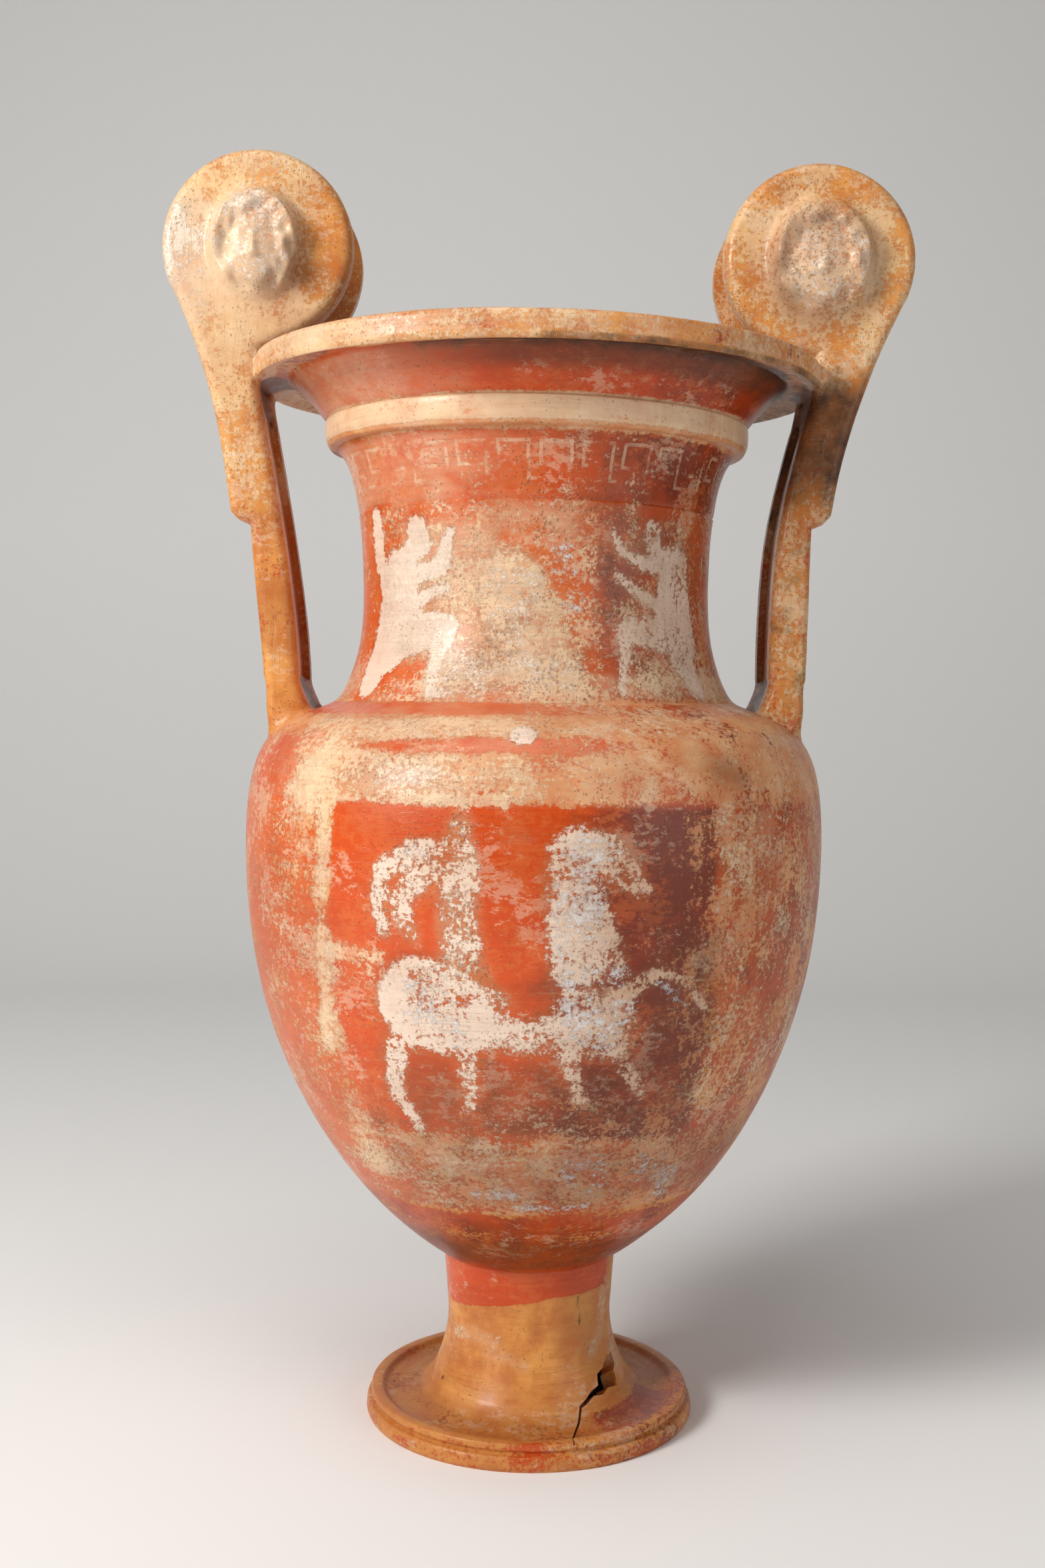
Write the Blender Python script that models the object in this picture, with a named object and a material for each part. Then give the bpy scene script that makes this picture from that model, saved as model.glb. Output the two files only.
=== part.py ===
"""Volute krater: a tall terracotta wine-mixing vase, made and fired as one piece.

Metres, +Z up. The origin is the centre of the foot's underside, the handles stand at +X and -X,
and the painted front faces -Y. The vase is hollow and open: bowl, neck and mouth from above, and
the foot from below.
"""

import math

import bmesh
import bpy
from mathutils import Matrix, Vector

# Foot: two turned mouldings round a shallow dish
foot_radius = 0.1057
foot_bead_height = 0.0088
foot_groove_depth = 0.0042
foot_lip_radius = 0.1026
foot_lip_height = 0.0165
foot_ring_width = 0.0150
dish_radius = 0.0955
dish_depth = 0.0040

# Stem
stem_radius = 0.0528
stem_base_radius = 0.0670
stem_waist_height = 0.0680
stem_top_height = 0.1050
stem_top_flare = 0.0028
stem_wall = 0.0105
dome_thickness = 0.0060

# Body
body_radius = 0.1842
body_height = 0.3710
body_wall = 0.0090
bowl_floor = 0.0130
neck_base_radius = 0.1260
neck_base_height = 0.4610

# Neck and mouth
neck_radius = 0.1102
neck_waist_height = 0.5300
neck_wall = 0.0085
ring_radius = 0.1340
ring_height = 0.0175
ring_base_height = 0.6175
flare_radius = 0.1572
flare_rise = 0.0260
lip_radius = 0.1797
lip_height = 0.0157
lip_width = 0.0130
mouth_rise = 0.0117
mouth_tilt = math.radians(0.7)
flare_height = ring_base_height + ring_height + flare_rise
mouth_height = flare_height + mouth_rise

# Handles: a strap between a front and a rear cheek, ending in a disc on each cheek
handle_depth = 0.0800
cheek_thickness = 0.0160
cheek_rounding = 0.0040
disc_radius = 0.0592
disc_overhang = 0.0533
left_disc_rise = 0.0681
right_disc_rise = 0.0623
flange_step_drop = 0.0947
flange_step_width = 0.0120
handle_width_low = 0.0235
strap_recess_outside = 0.0070
strap_recess_inside = 0.0040
drum_recess = 0.0100
root_drop = 0.0060
right_handle_sway = 0.0070
sway_spread = 0.0750

# Masks on the discs
left_mask_width = 0.0600
left_mask_height = 0.0680
right_mask_width = 0.0720
right_mask_height = 0.0790
mask_relief = 0.0185
mask_sink = 0.0030
curl_count = 10

# Lost shard where the stem runs out into the dish
break_angle = math.radians(52.0)
break_rise = 0.0145
break_length = 0.0240
break_width = 0.0065
break_lean = math.radians(38.0)

# Fineness of the facets
turn_steps = 40
mask_turn_steps = 20
mask_rings = (0.11, 0.24, 0.38, 0.52, 0.66, 0.78, 0.90, 1.0)

terracotta_colour = (0.62, 0.26, 0.10, 1.0)


def remove_objects():
    for old in list(bpy.data.objects):
        bpy.data.objects.remove(old, do_unlink=True)


def curve(start, leave, reach, end, arrive, pull, steps):
    """Points of a smooth curve; it leaves and arrives at the given angles in degrees."""
    first = Vector(start)
    last = Vector(end)
    second = first + reach * Vector((math.cos(math.radians(leave)), math.sin(math.radians(leave))))
    third = last - pull * Vector((math.cos(math.radians(arrive)), math.sin(math.radians(arrive))))
    points = []
    for step in range(steps + 1):
        t = step / steps
        s = 1.0 - t
        points.append(s**3 * first + 3 * s * s * t * second + 3 * s * t * t * third + t**3 * last)
    return points


def stem_curve(steps):
    rise = stem_waist_height - foot_lip_height
    start = (stem_base_radius, foot_lip_height + 0.0015)
    return curve(start, 119, 0.39 * rise, (stem_radius, stem_waist_height), 90, 0.37 * rise, steps)


def body_curve(steps):
    rise = body_height - stem_top_height
    start = (stem_radius + stem_top_flare, stem_top_height)
    return curve(start, 33.6, 0.449 * rise, (body_radius, body_height), 90, 0.333 * rise, steps)


def shoulder_curve(steps):
    rise = neck_base_height - body_height
    end = (neck_base_radius, neck_base_height)
    return curve((body_radius, body_height), 90, 0.902 * rise, end, 156.5, 0.379 * rise, steps)


def neck_curve(low_steps, high_steps):
    low = neck_waist_height - neck_base_height
    high = ring_base_height - neck_waist_height
    base = (neck_base_radius, neck_base_height)
    waist = (neck_radius, neck_waist_height)
    top = (ring_radius - 0.0075, ring_base_height)
    lower = curve(base, 118, 0.364 * low, waist, 90, 0.442 * low, low_steps)
    upper = curve(waist, 90, 0.185 * high, top, 38.4, 0.221 * high, high_steps)
    return lower + upper[1:]


def flare_curve(steps):
    start = (ring_radius - 0.0006, ring_base_height + ring_height)
    reach = 0.33 * (flare_height - start[1])
    return curve(start, 56, reach, (flare_radius, flare_height), 40, reach, steps)


def inset(points, wall):
    """The same line moved inwards by a wall's thickness, square to itself."""
    moved = []
    for index, point in enumerate(points):
        before = points[max(index - 1, 0)]
        after = points[min(index + 1, len(points) - 1)]
        along = (after - before).normalized()
        moved.append(Vector((point.x - wall * along.y, point.y + wall * along.x)))
    return moved


def outer_profile():
    """Outside of the vase from the foot's flat ring up to the lip's top, as radius and height."""
    bead = foot_bead_height
    groove = foot_radius - foot_groove_depth
    points = [
        Vector((foot_radius - foot_ring_width, 0.0)),
        Vector((foot_radius - 0.0020, 0.0)),
        Vector((foot_radius, 0.4 * bead)),
        Vector((foot_radius - 0.0010, bead)),
        Vector((groove, bead + 0.0010)),
        Vector((foot_lip_radius, bead + 0.0032)),
        Vector((foot_lip_radius - 0.0006, foot_lip_height - 0.0010)),
        Vector((foot_lip_radius - 0.0040, foot_lip_height)),
        Vector((dish_radius, foot_lip_height - 0.0004)),
        Vector((dish_radius - 0.0070, foot_lip_height - dish_depth)),
        Vector((stem_base_radius + 0.0100, foot_lip_height - 0.7 * dish_depth)),
    ]
    points += stem_curve(4)
    points += body_curve(9)
    points += shoulder_curve(6)[1:]
    points += neck_curve(4, 3)[1:]
    ring_top = ring_base_height + ring_height
    points += [
        Vector((ring_radius - 0.0030, ring_base_height + 0.17 * ring_height)),
        Vector((ring_radius - 0.0006, ring_base_height + 0.5 * ring_height)),
        Vector((ring_radius + 0.0004, ring_top - 0.0020)),
    ]
    points += flare_curve(3)
    lip_base = mouth_height - lip_height
    points += [
        Vector((0.5 * (flare_radius + lip_radius), flare_height + 0.0006)),
        Vector((lip_radius - 0.0010, lip_base)),
        Vector((lip_radius, lip_base + 0.0030)),
        Vector((lip_radius, mouth_height - 0.0030)),
        Vector((lip_radius - 0.0025, mouth_height)),
        Vector((lip_radius - lip_width, mouth_height)),
    ]
    return points


def inner_profile(share=1.0):
    """Inside of the vase from the lip down to the bowl's floor, or a line part way into the wall."""
    floor = stem_top_height + share * bowl_floor
    throat = inset(neck_curve(3, 2) + flare_curve(2), share * neck_wall)
    belly = inset(body_curve(6)[2:] + shoulder_curve(4)[1:-1], share * body_wall)
    start = belly[0]
    bottom = curve((0.0, floor), 0, 0.55 * start.x, start, 40, 0.30 * start.x, 3)
    upward = bottom[:-1] + belly + throat
    return list(reversed(upward))


def under_profile():
    """Hollow of the foot, from the middle of the stem's inner dome out to the foot's ring."""
    dome = stem_top_height - dome_thickness
    bore = stem_radius - stem_wall
    hollow = inset(stem_curve(3), stem_wall)
    points = [
        Vector((0.0, dome)),
        Vector((0.60 * bore, dome - 0.0030)),
        Vector((0.93 * bore, dome - 0.0090)),
        Vector((bore, dome - 0.0160)),
    ]
    points += list(reversed(hollow))
    points += [
        Vector((stem_base_radius + 0.0030, foot_lip_height - dish_depth - 0.0060)),
        Vector((foot_radius - foot_ring_width - 0.0050, foot_lip_height - dish_depth - 0.0070)),
    ]
    return points


def new_object(name, bm):
    mesh = bpy.data.meshes.new(name)
    bmesh.ops.recalc_face_normals(bm, faces=bm.faces)
    bm.to_mesh(mesh)
    bm.free()
    thing = bpy.data.objects.new(name, mesh)
    bpy.context.scene.collection.objects.link(thing)
    return thing


def turned(name, profile):
    """A profile that starts and ends on the axis, turned through a full circle."""
    bm = bmesh.new()
    line = [bm.verts.new((point.x, 0.0, point.y)) for point in profile]
    edges = [bm.edges.new(pair) for pair in zip(line, line[1:])]
    bmesh.ops.spin(
        bm, geom=line + edges, cent=(0, 0, 0), axis=(0, 0, 1),
        angle=2 * math.pi, steps=turn_steps, use_merge=True,
    )
    bmesh.ops.remove_doubles(bm, verts=bm.verts, dist=0.00005)
    return new_object(name, bm)


def lean_mouth(thing):
    """The mouth sank a little towards +X in the kiln; the neck takes up the lean."""
    span = ring_base_height - neck_waist_height
    for vertex in thing.data.vertices:
        share = min(max((vertex.co.z - neck_waist_height) / span, 0.0), 1.0)
        vertex.co.z -= share * vertex.co.x * math.tan(mouth_tilt)


def handle_outline(disc_height, sway, outside=0.0, inside=0.0, around=0.0):
    """Side outline of a cheek, or with insets of the strap between the cheeks, as (x, z)."""
    disc_x = lip_radius + disc_overhang - disc_radius
    root = neck_base_height - root_drop
    radius = disc_radius - around
    inner_low = neck_base_radius + 0.0215
    inner_high = lip_radius - 0.0067
    outer_low = inner_low + handle_width_low
    step = mouth_height - flange_step_drop
    under_lip = mouth_height - lip_height + 0.0030
    tangent = math.radians(-21.0)
    points = [
        Vector((neck_base_radius + 0.0120 + inside, root - 0.0200)),
        Vector((neck_base_radius + 0.0380 - outside, root - 0.0320)),
    ]
    points += curve((outer_low - 0.0010 - outside, root), 97, 0.0185,
                    (inner_high + 0.0055 - outside, step - 0.0080), 86, 0.0560, 4)
    if outside == 0.0:
        points.append(Vector((inner_high + 0.0055 + 0.6 * flange_step_width, step - 0.0050)))
    flange_foot = (inner_high + 0.0055 + flange_step_width - outside, step + outside)
    flange_top = (disc_x + radius * math.cos(tangent), disc_height + radius * math.sin(tangent))
    points += curve(flange_foot, 78, 0.0170, flange_top, 63, 0.0690, 5)
    arc_steps = 17
    arc_end = math.radians(252.0)
    for turn in range(1, arc_steps + 1):
        angle = tangent + (arc_end - tangent) * turn / arc_steps
        points.append(Vector((disc_x + radius * math.cos(angle), disc_height + radius * math.sin(angle))))
    points.append(Vector((inner_high + inside, mouth_height + 0.0040)))
    points += curve((inner_high + inside, under_lip), 266, 0.0286,
                    (inner_low + inside, root + 0.0150), 269, 0.0700, 4)
    points.append(Vector((neck_base_radius + 0.0150 + inside, root + 0.0060)))
    for point in points:
        point.x -= sway * bump(point.y, step, sway_spread)
    return points


def plate(name, outline, near, far, side, rounding=0.0):
    """An outline in the XZ plane given a thickness along Y, with its rim rounded on request."""
    bm = bmesh.new()
    rim = [bm.verts.new((side * point.x, near, point.y)) for point in outline]
    face = bm.faces.new(rim)
    grown = bmesh.ops.extrude_face_region(bm, geom=[face])
    lifted = [item for item in grown["geom"] if isinstance(item, bmesh.types.BMVert)]
    bmesh.ops.translate(bm, verts=lifted, vec=(0.0, far - near, 0.0))
    if rounding > 0.0:
        edges = [e for e in bm.edges if all(abs(v.co.y - far) < 1e-7 for v in e.verts)]
        bmesh.ops.bevel(bm, geom=edges, offset=rounding, offset_type="OFFSET", affect="EDGES",
                        segments=2, profile=0.5, material=-1)
    return new_object(name, bm)


def bump(value, middle, spread):
    return math.exp(-((value - middle) / spread) ** 2)


def smooth_step(low, high, value):
    t = min(max((value - low) / (high - low), 0.0), 1.0)
    return t * t * (3.0 - 2.0 * t)


def mask_height(across, up, turn, out):
    """Relief of a curly-haired head; across and up run from -1 to 1, out is the share of the radius."""
    edge = 1.0 - smooth_step(0.80, 1.0, out)
    curls = 0.5 + 0.5 * math.cos(curl_count * turn)
    inner_curls = 0.5 + 0.5 * math.cos(curl_count * turn + math.pi)
    hair = 0.46 * edge * (1.0 + 0.32 * curls * bump(out, 0.86, 0.10))
    hair += 0.16 * edge * inner_curls * bump(out, 0.68, 0.10)
    reach = (across / 0.56) ** 2 + ((up + 0.10) / 0.70) ** 2
    face = 0.40 + 0.42 * math.sqrt(max(0.0, 1.0 - reach))
    face += 0.20 * bump(across, 0.0, 0.10) * smooth_step(0.24, -0.22, up) * smooth_step(-0.34, -0.26, up)
    for eye in (-0.25, 0.25):
        face -= 0.11 * bump(across, eye, 0.15) * bump(up, 0.06, 0.11)
        face += 0.06 * bump(across, eye, 0.08) * bump(up, 0.04, 0.05)
    face += 0.05 * bump(across, 0.0, 0.17) * bump(up, -0.46, 0.09)
    face += 0.06 * bump(across, 0.0, 0.16) * bump(up, -0.68, 0.08)
    blend = 1.0 - smooth_step(0.86, 1.10, reach)
    return hair + (max(face, hair) - hair) * blend


def mask(name, width, height, centre, facing):
    """A head in relief on a disc, facing -Y or +Y, its flat back sunk into the cheek."""
    bm = bmesh.new()
    tip = bm.verts.new((0.0, -mask_relief * mask_height(0.0, 0.0, 0.0, 0.0), 0.0))
    rings = []
    for out in mask_rings:
        ring = []
        for index in range(mask_turn_steps):
            turn = 2 * math.pi * index / mask_turn_steps
            across = out * math.cos(turn)
            up = out * math.sin(turn)
            lift = mask_relief * mask_height(across, up, turn, out)
            ring.append(bm.verts.new((0.5 * width * across, -lift, 0.5 * height * up)))
        rings.append(ring)
    for index in range(mask_turn_steps):
        bm.faces.new((tip, rings[0][index], rings[0][(index + 1) % mask_turn_steps]))
    for inner, outer in zip(rings, rings[1:]):
        edges = [bm.edges.get((ring[i], ring[(i + 1) % mask_turn_steps])) or
                 bm.edges.new((ring[i], ring[(i + 1) % mask_turn_steps]))
                 for ring in (inner, outer) for i in range(mask_turn_steps)]
        bmesh.ops.bridge_loops(bm, edges=edges)
    back = [bm.verts.new((v.co.x, mask_sink, v.co.z)) for v in rings[-1]]
    edges = [bm.edges.get((rings[-1][i], rings[-1][(i + 1) % mask_turn_steps])) for i in range(mask_turn_steps)]
    edges += [bm.edges.new((back[i], back[(i + 1) % mask_turn_steps])) for i in range(mask_turn_steps)]
    bmesh.ops.bridge_loops(bm, edges=edges)
    bm.faces.new(back)
    bmesh.ops.rotate(bm, verts=bm.verts, cent=(0, 0, 0), matrix=Matrix.Rotation(facing, 3, "Z"))
    bmesh.ops.translate(bm, verts=bm.verts, vec=centre)
    return new_object(name, bm)


def shard_cutter():
    """A slim wedge that opens the wall where a shard is lost beside the crack."""
    bm = bmesh.new()
    bmesh.ops.create_cone(bm, cap_ends=True, segments=8, radius1=0.5, radius2=0.5, depth=1.0)
    bmesh.ops.rotate(bm, verts=bm.verts, cent=(0, 0, 0), matrix=Matrix.Rotation(math.pi / 2, 3, "X"))
    bmesh.ops.scale(bm, verts=bm.verts, vec=(break_width, 4 * stem_wall, break_length))
    for vertex in bm.verts:
        if vertex.co.z < 0.0:
            vertex.co.x *= 0.45
    bmesh.ops.rotate(bm, verts=bm.verts, cent=(0, 0, 0), matrix=Matrix.Rotation(break_lean, 3, "Y"))
    bmesh.ops.translate(bm, verts=bm.verts, vec=(0.0, -stem_radius, foot_lip_height + break_rise))
    bmesh.ops.rotate(bm, verts=bm.verts, cent=(0, 0, 0), matrix=Matrix.Rotation(break_angle, 3, "Z"))
    return new_object("break_cutter", bm)


def combine(target, other, operation):
    """A Boolean on the target; the other shape stays only as its hidden operand."""
    modifier = target.modifiers.new(f"{operation.lower()}_{other.name}", "BOOLEAN")
    modifier.operation = operation
    modifier.solver = "EXACT"
    modifier.object = other
    other.hide_render = True
    other.display_type = "WIRE"


def handle_pieces(label, side, disc_height, mask_width, mask_height_m, cavity):
    """Both cheeks, the strap between them and both masks of one handle."""
    half = 0.5 * handle_depth
    inner = half - cheek_thickness
    sway = right_handle_sway if side > 0 else 0.0
    cheek = handle_outline(disc_height, sway)
    strap = handle_outline(disc_height, sway, strap_recess_outside, strap_recess_inside, drum_recess)
    disc_x = side * (lip_radius + disc_overhang - disc_radius)
    pieces = [plate(f"{label}_strap_form", strap, -inner - 0.004, inner + 0.004, side)]
    for word, way in (("front", -1), ("rear", 1)):
        pieces.append(plate(f"{label}_{word}_cheek_form", cheek, way * inner, way * half, side, cheek_rounding))
    for piece in pieces:
        combine(piece, cavity, "DIFFERENCE")
    for word, way, facing in (("front", -1, 0.0), ("rear", 1, math.pi)):
        centre = (disc_x, way * half, disc_height)
        pieces.append(mask(f"{label}_{word}_mask_form", mask_width, mask_height_m, centre, facing))
    return pieces


def main():
    remove_objects()
    outside = outer_profile()
    vase = turned("volute_krater", under_profile() + outside + inner_profile())
    cavity = turned("cavity_form", [Vector((0.0, mouth_height))] + inner_profile(0.5))
    lean_mouth(vase)
    lean_mouth(cavity)
    left_disc = mouth_height + left_disc_rise
    right_disc = mouth_height + right_disc_rise
    pieces = handle_pieces("left", -1, left_disc, left_mask_width, left_mask_height, cavity)
    pieces += handle_pieces("right", 1, right_disc, right_mask_width, right_mask_height, cavity)
    for piece in pieces:
        combine(vase, piece, "UNION")
    combine(vase, shard_cutter(), "DIFFERENCE")
    clay = bpy.data.materials.new("terracotta")
    clay.use_nodes = True
    shader = clay.node_tree.nodes["Principled BSDF"]
    shader.inputs["Base Color"].default_value = terracotta_colour
    shader.inputs["Roughness"].default_value = 0.62
    vase.data.materials.append(clay)


main()
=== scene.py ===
# %% [markdown]
# # A painted volute krater
# The real object is one piece of fired clay: a thrown foot, stem, body and neck, with two modelled
# handles that end in discs with relief masks. Thin red, cream and ochre slips cover it, and most of
# them are worn. The frame holds it as one coarse solid. This script makes the same form finely,
# works out where each slip lies, and lets the material wear it away.

# %% Load the frame
import math

import bmesh
import bpy
import numpy as np
from mathutils import Matrix, Vector, noise


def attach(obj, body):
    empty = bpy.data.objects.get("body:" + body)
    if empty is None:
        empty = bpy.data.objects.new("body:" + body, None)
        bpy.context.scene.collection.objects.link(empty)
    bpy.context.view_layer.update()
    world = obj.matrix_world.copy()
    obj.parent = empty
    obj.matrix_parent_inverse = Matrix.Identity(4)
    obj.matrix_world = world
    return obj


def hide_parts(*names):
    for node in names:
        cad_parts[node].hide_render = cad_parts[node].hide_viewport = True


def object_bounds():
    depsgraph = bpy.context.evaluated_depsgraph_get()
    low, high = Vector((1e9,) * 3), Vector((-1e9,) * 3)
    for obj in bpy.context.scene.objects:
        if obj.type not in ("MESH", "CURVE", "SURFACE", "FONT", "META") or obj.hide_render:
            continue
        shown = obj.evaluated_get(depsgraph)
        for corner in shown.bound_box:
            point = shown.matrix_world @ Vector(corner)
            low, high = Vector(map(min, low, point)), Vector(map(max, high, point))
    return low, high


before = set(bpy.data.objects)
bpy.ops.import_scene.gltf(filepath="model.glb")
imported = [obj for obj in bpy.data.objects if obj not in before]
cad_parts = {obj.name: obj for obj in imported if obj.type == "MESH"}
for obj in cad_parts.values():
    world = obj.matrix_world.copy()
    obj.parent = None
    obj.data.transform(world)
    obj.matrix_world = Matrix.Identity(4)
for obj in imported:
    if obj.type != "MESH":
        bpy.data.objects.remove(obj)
cad_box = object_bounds()
node_name = "volute_krater"
print("frame", [[round(value, 4) for value in corner] for corner in cad_box])

# %% [markdown]
# ## The camera
# The photo was taken from a little over a metre, slightly above the middle of the vase. These values
# come from the rings of the foot, the neck and the lip, whose ellipses open by the height of the eye.
# A camera that rolls by half a degree makes the vase lean by as much in the picture.

# %% Camera
eye = Vector((-0.0073, -1.122, 0.4615))
look_down = math.radians(2.742)
eye_roll = math.radians(0.487)
photo_height_px = 2353
focal_px = 2604.0
film_mm = 36.0

camera_data = bpy.data.cameras.new("camera")
camera_data.sensor_width = film_mm
camera_data.lens = focal_px / photo_height_px * film_mm
camera = bpy.data.objects.new("camera", camera_data)
turn_eye = Matrix.Rotation(math.pi / 2 - look_down, 4, "X") @ Matrix.Rotation(eye_roll, 4, "Z")
camera.matrix_world = Matrix.Translation(eye) @ turn_eye
bpy.context.scene.collection.objects.link(camera)
bpy.context.scene.camera = camera
print("lens", round(camera_data.lens, 2))

# %% [markdown]
# ## Studio
# A pale sweep serves as floor and backdrop: a floor edge extruded back, and then up through a quarter
# round. The key light stands high at the left front, as the highlight on the left shoulder
# and the dark right side say. A weak fill from the right front keeps the shaded side readable.

# %% Floor and backdrop
sweep_half_width = 3.2
sweep_front = -2.4
sweep_back = 1.6
sweep_rise = 2.6
sweep_bend = 0.8


def link(name, mesh):
    thing = bpy.data.objects.new(name, mesh)
    bpy.context.scene.collection.objects.link(thing)
    return thing


def keep(bm, name):
    """Writes the edited mesh to a new object, and frees it."""
    mesh = bpy.data.meshes.new(name)
    bm.to_mesh(mesh)
    bm.free()
    return link(name, mesh)


def plain_material(name, colour, roughness):
    material = bpy.data.materials.new(name)
    material.use_nodes = True
    shader = material.node_tree.nodes["Principled BSDF"]
    shader.inputs["Base Color"].default_value = colour
    shader.inputs["Roughness"].default_value = roughness
    return material


def make_sweep():
    bm = bmesh.new()
    left = bm.verts.new((-sweep_half_width, sweep_front, 0.0))
    right = bm.verts.new((sweep_half_width, sweep_front, 0.0))
    row = [bm.edges.new((left, right))]
    path = [Vector((0.0, sweep_back - sweep_front, 0.0))]
    steps = 16
    for step in range(steps):
        a = math.pi / 2 * step / steps
        b = math.pi / 2 * (step + 1) / steps
        path.append(sweep_bend * Vector((0.0, math.sin(b) - math.sin(a), math.cos(a) - math.cos(b))))
    path.append(Vector((0.0, 0.0, sweep_rise)))
    for move in path:
        grown = bmesh.ops.extrude_edge_only(bm, edges=row)["geom"]
        bmesh.ops.translate(bm, verts=[v for v in grown if isinstance(v, bmesh.types.BMVert)], vec=move)
        row = [e for e in grown if isinstance(e, bmesh.types.BMEdge)]
        row = [e for e in row if abs(e.verts[0].co.x - e.verts[1].co.x) > sweep_half_width]
    bmesh.ops.recalc_face_normals(bm, faces=bm.faces)
    sweep = keep(bm, "studio_sweep")
    sweep.data.shade_smooth()
    sweep.data.materials.append(plain_material("pale_paper", (0.90, 0.90, 0.90, 1.0), 0.9))
    return sweep


print("floor and backdrop", len(make_sweep().data.polygons), "faces")

# %% Lights
aim = Vector((0.0, 0.0, 0.42))


def soft_light(name, azimuth, elevation, distance, width, power, colour):
    """A square softbox; azimuth 0 is at the camera's side and grows to the viewer's right."""
    a = math.radians(azimuth)
    e = math.radians(elevation)
    away = Vector((math.sin(a) * math.cos(e), -math.cos(a) * math.cos(e), math.sin(e)))
    data = bpy.data.lights.new(name, "AREA")
    data.shape = "SQUARE"
    data.size = width
    data.energy = power
    data.color = colour
    lamp = bpy.data.objects.new(name, data)
    turn = away.to_track_quat("Z", "Y").to_matrix().to_4x4()
    lamp.matrix_world = Matrix.Translation(aim + distance * away) @ turn
    bpy.context.scene.collection.objects.link(lamp)


soft_light("key", -53.0, 25.0, 2.3, 0.7, 45.0, (1.0, 0.98, 0.94))
soft_light("top", -25.0, 68.0, 2.4, 1.4, 17.0, (1.0, 0.98, 0.95))
soft_light("fill", 50.0, 12.0, 2.6, 1.6, 13.0, (1.0, 0.97, 0.94))
world = bpy.data.worlds.new("studio")
world.use_nodes = True
world.node_tree.nodes["Background"].inputs["Color"].default_value = (1.0, 0.97, 0.94, 1.0)
world.node_tree.nodes["Background"].inputs["Strength"].default_value = 0.16
bpy.context.scene.world = world
print("lights", [lamp.name for lamp in bpy.data.lights])

# %% [markdown]
# ## The turned profile
# A potter throws the vase as one curve from foot to lip, so it is drawn here as a half section and
# spun. The sizes are those of the frame. Smooth runs are curves with a start and an end direction, and
# mouldings are a few corners that are then cut off twice, which rounds them as a wet sponge would.

# %% Sizes of the vase
foot_radius = 0.1057
foot_bead_height = 0.0088
foot_groove_depth = 0.0042
foot_lip_radius = 0.1026
foot_lip_height = 0.0165
foot_ring_width = 0.0150
dish_radius = 0.0955
dish_depth = 0.0040
stem_radius = 0.0528
stem_base_radius = 0.0670
stem_waist_height = 0.0680
stem_top_height = 0.1050
stem_top_flare = 0.0028
stem_wall = 0.0105
dome_thickness = 0.0060
body_radius = 0.1842
body_height = 0.3710
body_wall = 0.0090
bowl_floor = 0.0130
neck_base_radius = 0.1260
neck_base_height = 0.4610
neck_radius = 0.1102
neck_waist_height = 0.5300
neck_wall = 0.0085
neck_groove_height = 0.5785
ring_radius = 0.1340
ring_height = 0.0175
ring_base_height = 0.6175
flare_radius = 0.1572
flare_rise = 0.0260
lip_radius = 0.1797
lip_height = 0.0157
lip_width = 0.0130
mouth_rise = 0.0117
mouth_tilt = math.radians(0.7)
flare_height = ring_base_height + ring_height + flare_rise
mouth_height = flare_height + mouth_rise
turn_steps = 162
print("mouth at", round(mouth_height, 4), "m")

# %% Curves and walls


def curve(start, leave, reach, end, arrive, pull, steps):
    """Points of a smooth curve; it leaves and arrives at the given angles in degrees."""
    first = Vector(start)
    last = Vector(end)
    second = first + reach * Vector((math.cos(math.radians(leave)), math.sin(math.radians(leave))))
    third = last - pull * Vector((math.cos(math.radians(arrive)), math.sin(math.radians(arrive))))
    points = []
    for step in range(steps + 1):
        t = step / steps
        s = 1.0 - t
        points.append(s**3 * first + 3 * s * s * t * second + 3 * s * t * t * third + t**3 * last)
    return points


def stem_curve(steps):
    rise = stem_waist_height - foot_lip_height
    start = (stem_base_radius, foot_lip_height + 0.0015)
    return curve(start, 119, 0.39 * rise, (stem_radius, stem_waist_height), 90, 0.37 * rise, steps)


def body_curve(steps):
    rise = body_height - stem_top_height
    start = (stem_radius + stem_top_flare, stem_top_height)
    return curve(start, 33.6, 0.449 * rise, (body_radius, body_height), 90, 0.333 * rise, steps)


def shoulder_curve(steps):
    rise = neck_base_height - body_height
    end = (neck_base_radius, neck_base_height)
    return curve((body_radius, body_height), 90, 0.902 * rise, end, 156.5, 0.379 * rise, steps)


def neck_curve(low_steps, high_steps):
    low = neck_waist_height - neck_base_height
    high = ring_base_height - neck_waist_height
    base = (neck_base_radius, neck_base_height)
    waist = (neck_radius, neck_waist_height)
    top = (ring_radius - 0.0075, ring_base_height)
    lower = curve(base, 118, 0.364 * low, waist, 90, 0.442 * low, low_steps)
    upper = curve(waist, 90, 0.185 * high, top, 38.4, 0.221 * high, high_steps)
    return lower + upper[1:]


def flare_curve(steps):
    start = (ring_radius - 0.0006, ring_base_height + ring_height)
    reach = 0.33 * (flare_height - start[1])
    return curve(start, 56, reach, (flare_radius, flare_height), 40, reach, steps)


def inset(points, wall):
    """The same line moved inwards by a wall's thickness, square to itself."""
    moved = []
    for index, point in enumerate(points):
        before = points[max(index - 1, 0)]
        after = points[min(index + 1, len(points) - 1)]
        along = (after - before).normalized()
        moved.append(Vector((point.x - wall * along.y, point.y + wall * along.x)))
    return moved


def soften(points, rounds, share=0.25):
    """Each round cuts every corner at this share of its sides; both ends stay."""
    for _ in range(rounds):
        cut = [points[0]]
        for a, b in zip(points, points[1:]):
            cut.append((1.0 - share) * a + share * b)
            cut.append(share * a + (1.0 - share) * b)
        points = cut + [points[-1]]
    return points


print("body curve", len(body_curve(60)), "points")


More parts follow.
